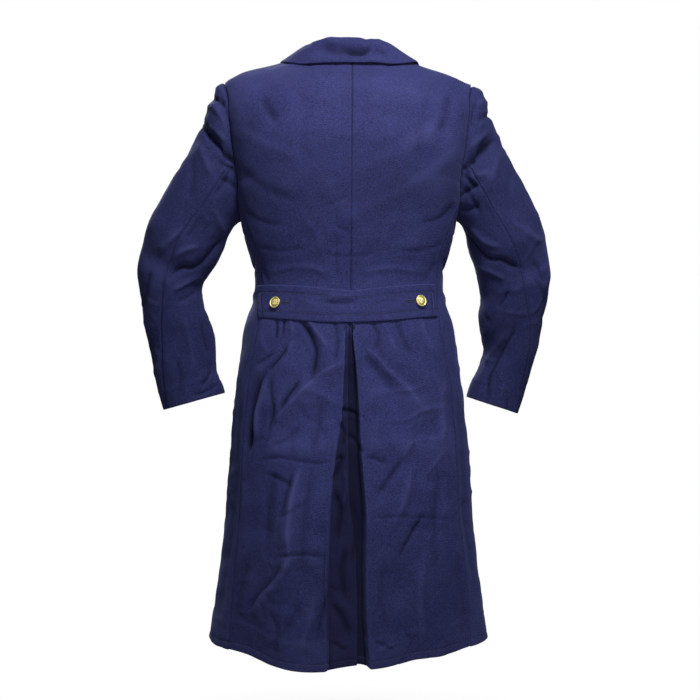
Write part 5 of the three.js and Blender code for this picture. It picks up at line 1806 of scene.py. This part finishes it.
class OBJECT_OT_greatcoat_stage(GreatcoatOperator, bpy.types.Operator):
    """Set the floor, the soft lights and the camera"""

    bl_idname = "greatcoat.stage"
    bl_label = "Stage"

    def execute(self, context):
        c = context.scene.greatcoat_colours
        spokes, count = FLOOR_SPOKES, len(FLOOR_RINGS)
        turn = np.arange(spokes) * TAU / spokes
        rings = [np.stack([r * np.cos(turn), r * np.sin(turn), 0 * turn], -1) for r in FLOOR_RINGS]
        faces = [(p, t, r, q) for p, q, r, t in ring_faces(count, spokes)]
        faces += [(j, j + 1, (j + 2) % spokes, count * spokes) for j in range(0, spokes, 2)]
        mesh = mesh_from("floor", np.vstack([*rings, [[0, 0, 0]]]), faces)
        floor = link("floor", mesh)
        floor.location = (0, 0, FLOOR_Z)
        pale = named_material("pale_floor", floor_material, rgb(c.floor), rgb(c.backdrop))
        mesh.materials.append(pale)
        room(context, rgb(c.backdrop))
        area_light("key_light", (-0.3, 1.2, 1.1), (0, 0, -0.35), (0.4, 0.4), 52)
        area_light("fill_light", (-0.1, 1.5, -0.35), (0, 0, -0.45), (1.0, 0.5), 10.5)
        area_light("front_light", (0.9, -2.6, 1.1), (0, 0, -0.55), (2, 2), 110)
        context.scene.view_settings.view_transform = "Standard"
        camera = bpy.data.cameras.new("camera")
        camera.sensor_width = 36
        camera.lens = 36 * EYE_Y / VIEW_WIDTH
        eye = bpy.data.objects.new("camera", camera)
        context.scene.collection.objects.link(eye)
        eye.location = (-GRID_STEP * MM, EYE_Y * MM, EYE_Z * MM)
        eye.rotation_euler = (math.pi / 2, 0, math.pi)
        context.scene.camera = eye
        return {"FINISHED"}


OPERATORS = (
    OBJECT_OT_greatcoat_back,
    OBJECT_OT_greatcoat_fronts,
    OBJECT_OT_greatcoat_sleeves,
    OBJECT_OT_greatcoat_collar,
    OBJECT_OT_greatcoat_belt,
    OBJECT_OT_greatcoat_buttons,
    OBJECT_OT_greatcoat_stitching,
    OBJECT_OT_greatcoat_stage,
)


class VIEW3D_PT_greatcoat(bpy.types.Panel):
    """Builds the greatcoat piece by piece"""

    bl_label = "Greatcoat"
    bl_idname = "VIEW3D_PT_greatcoat"
    bl_space_type = "VIEW_3D"
    bl_region_type = "UI"
    bl_category = "Greatcoat"

    def draw(self, context):
        for operator in OPERATORS:
            self.layout.operator(operator.bl_idname)
        for group in (context.scene.greatcoat_sizes, context.scene.greatcoat_colours):
            box = self.layout.box()
            for name in group.bl_rna.properties.keys():
                if name not in ("rna_type", "name"):
                    box.prop(group, name)


CLASSES = (GreatcoatSizes, GreatcoatColours, *OPERATORS, VIEW3D_PT_greatcoat)


def register():
    for cls in CLASSES:
        bpy.utils.register_class(cls)
    bpy.types.Scene.greatcoat_sizes = bpy.props.PointerProperty(type=GreatcoatSizes)
    bpy.types.Scene.greatcoat_colours = bpy.props.PointerProperty(type=GreatcoatColours)


def unregister():
    del bpy.types.Scene.greatcoat_sizes
    del bpy.types.Scene.greatcoat_colours
    for cls in reversed(CLASSES):
        bpy.utils.unregister_class(cls)


def main():
    register()
    for operator in OPERATORS:
        group, name = operator.bl_idname.split(".")
        getattr(getattr(bpy.ops, group), name)()


if __name__ == "__main__":
    main()
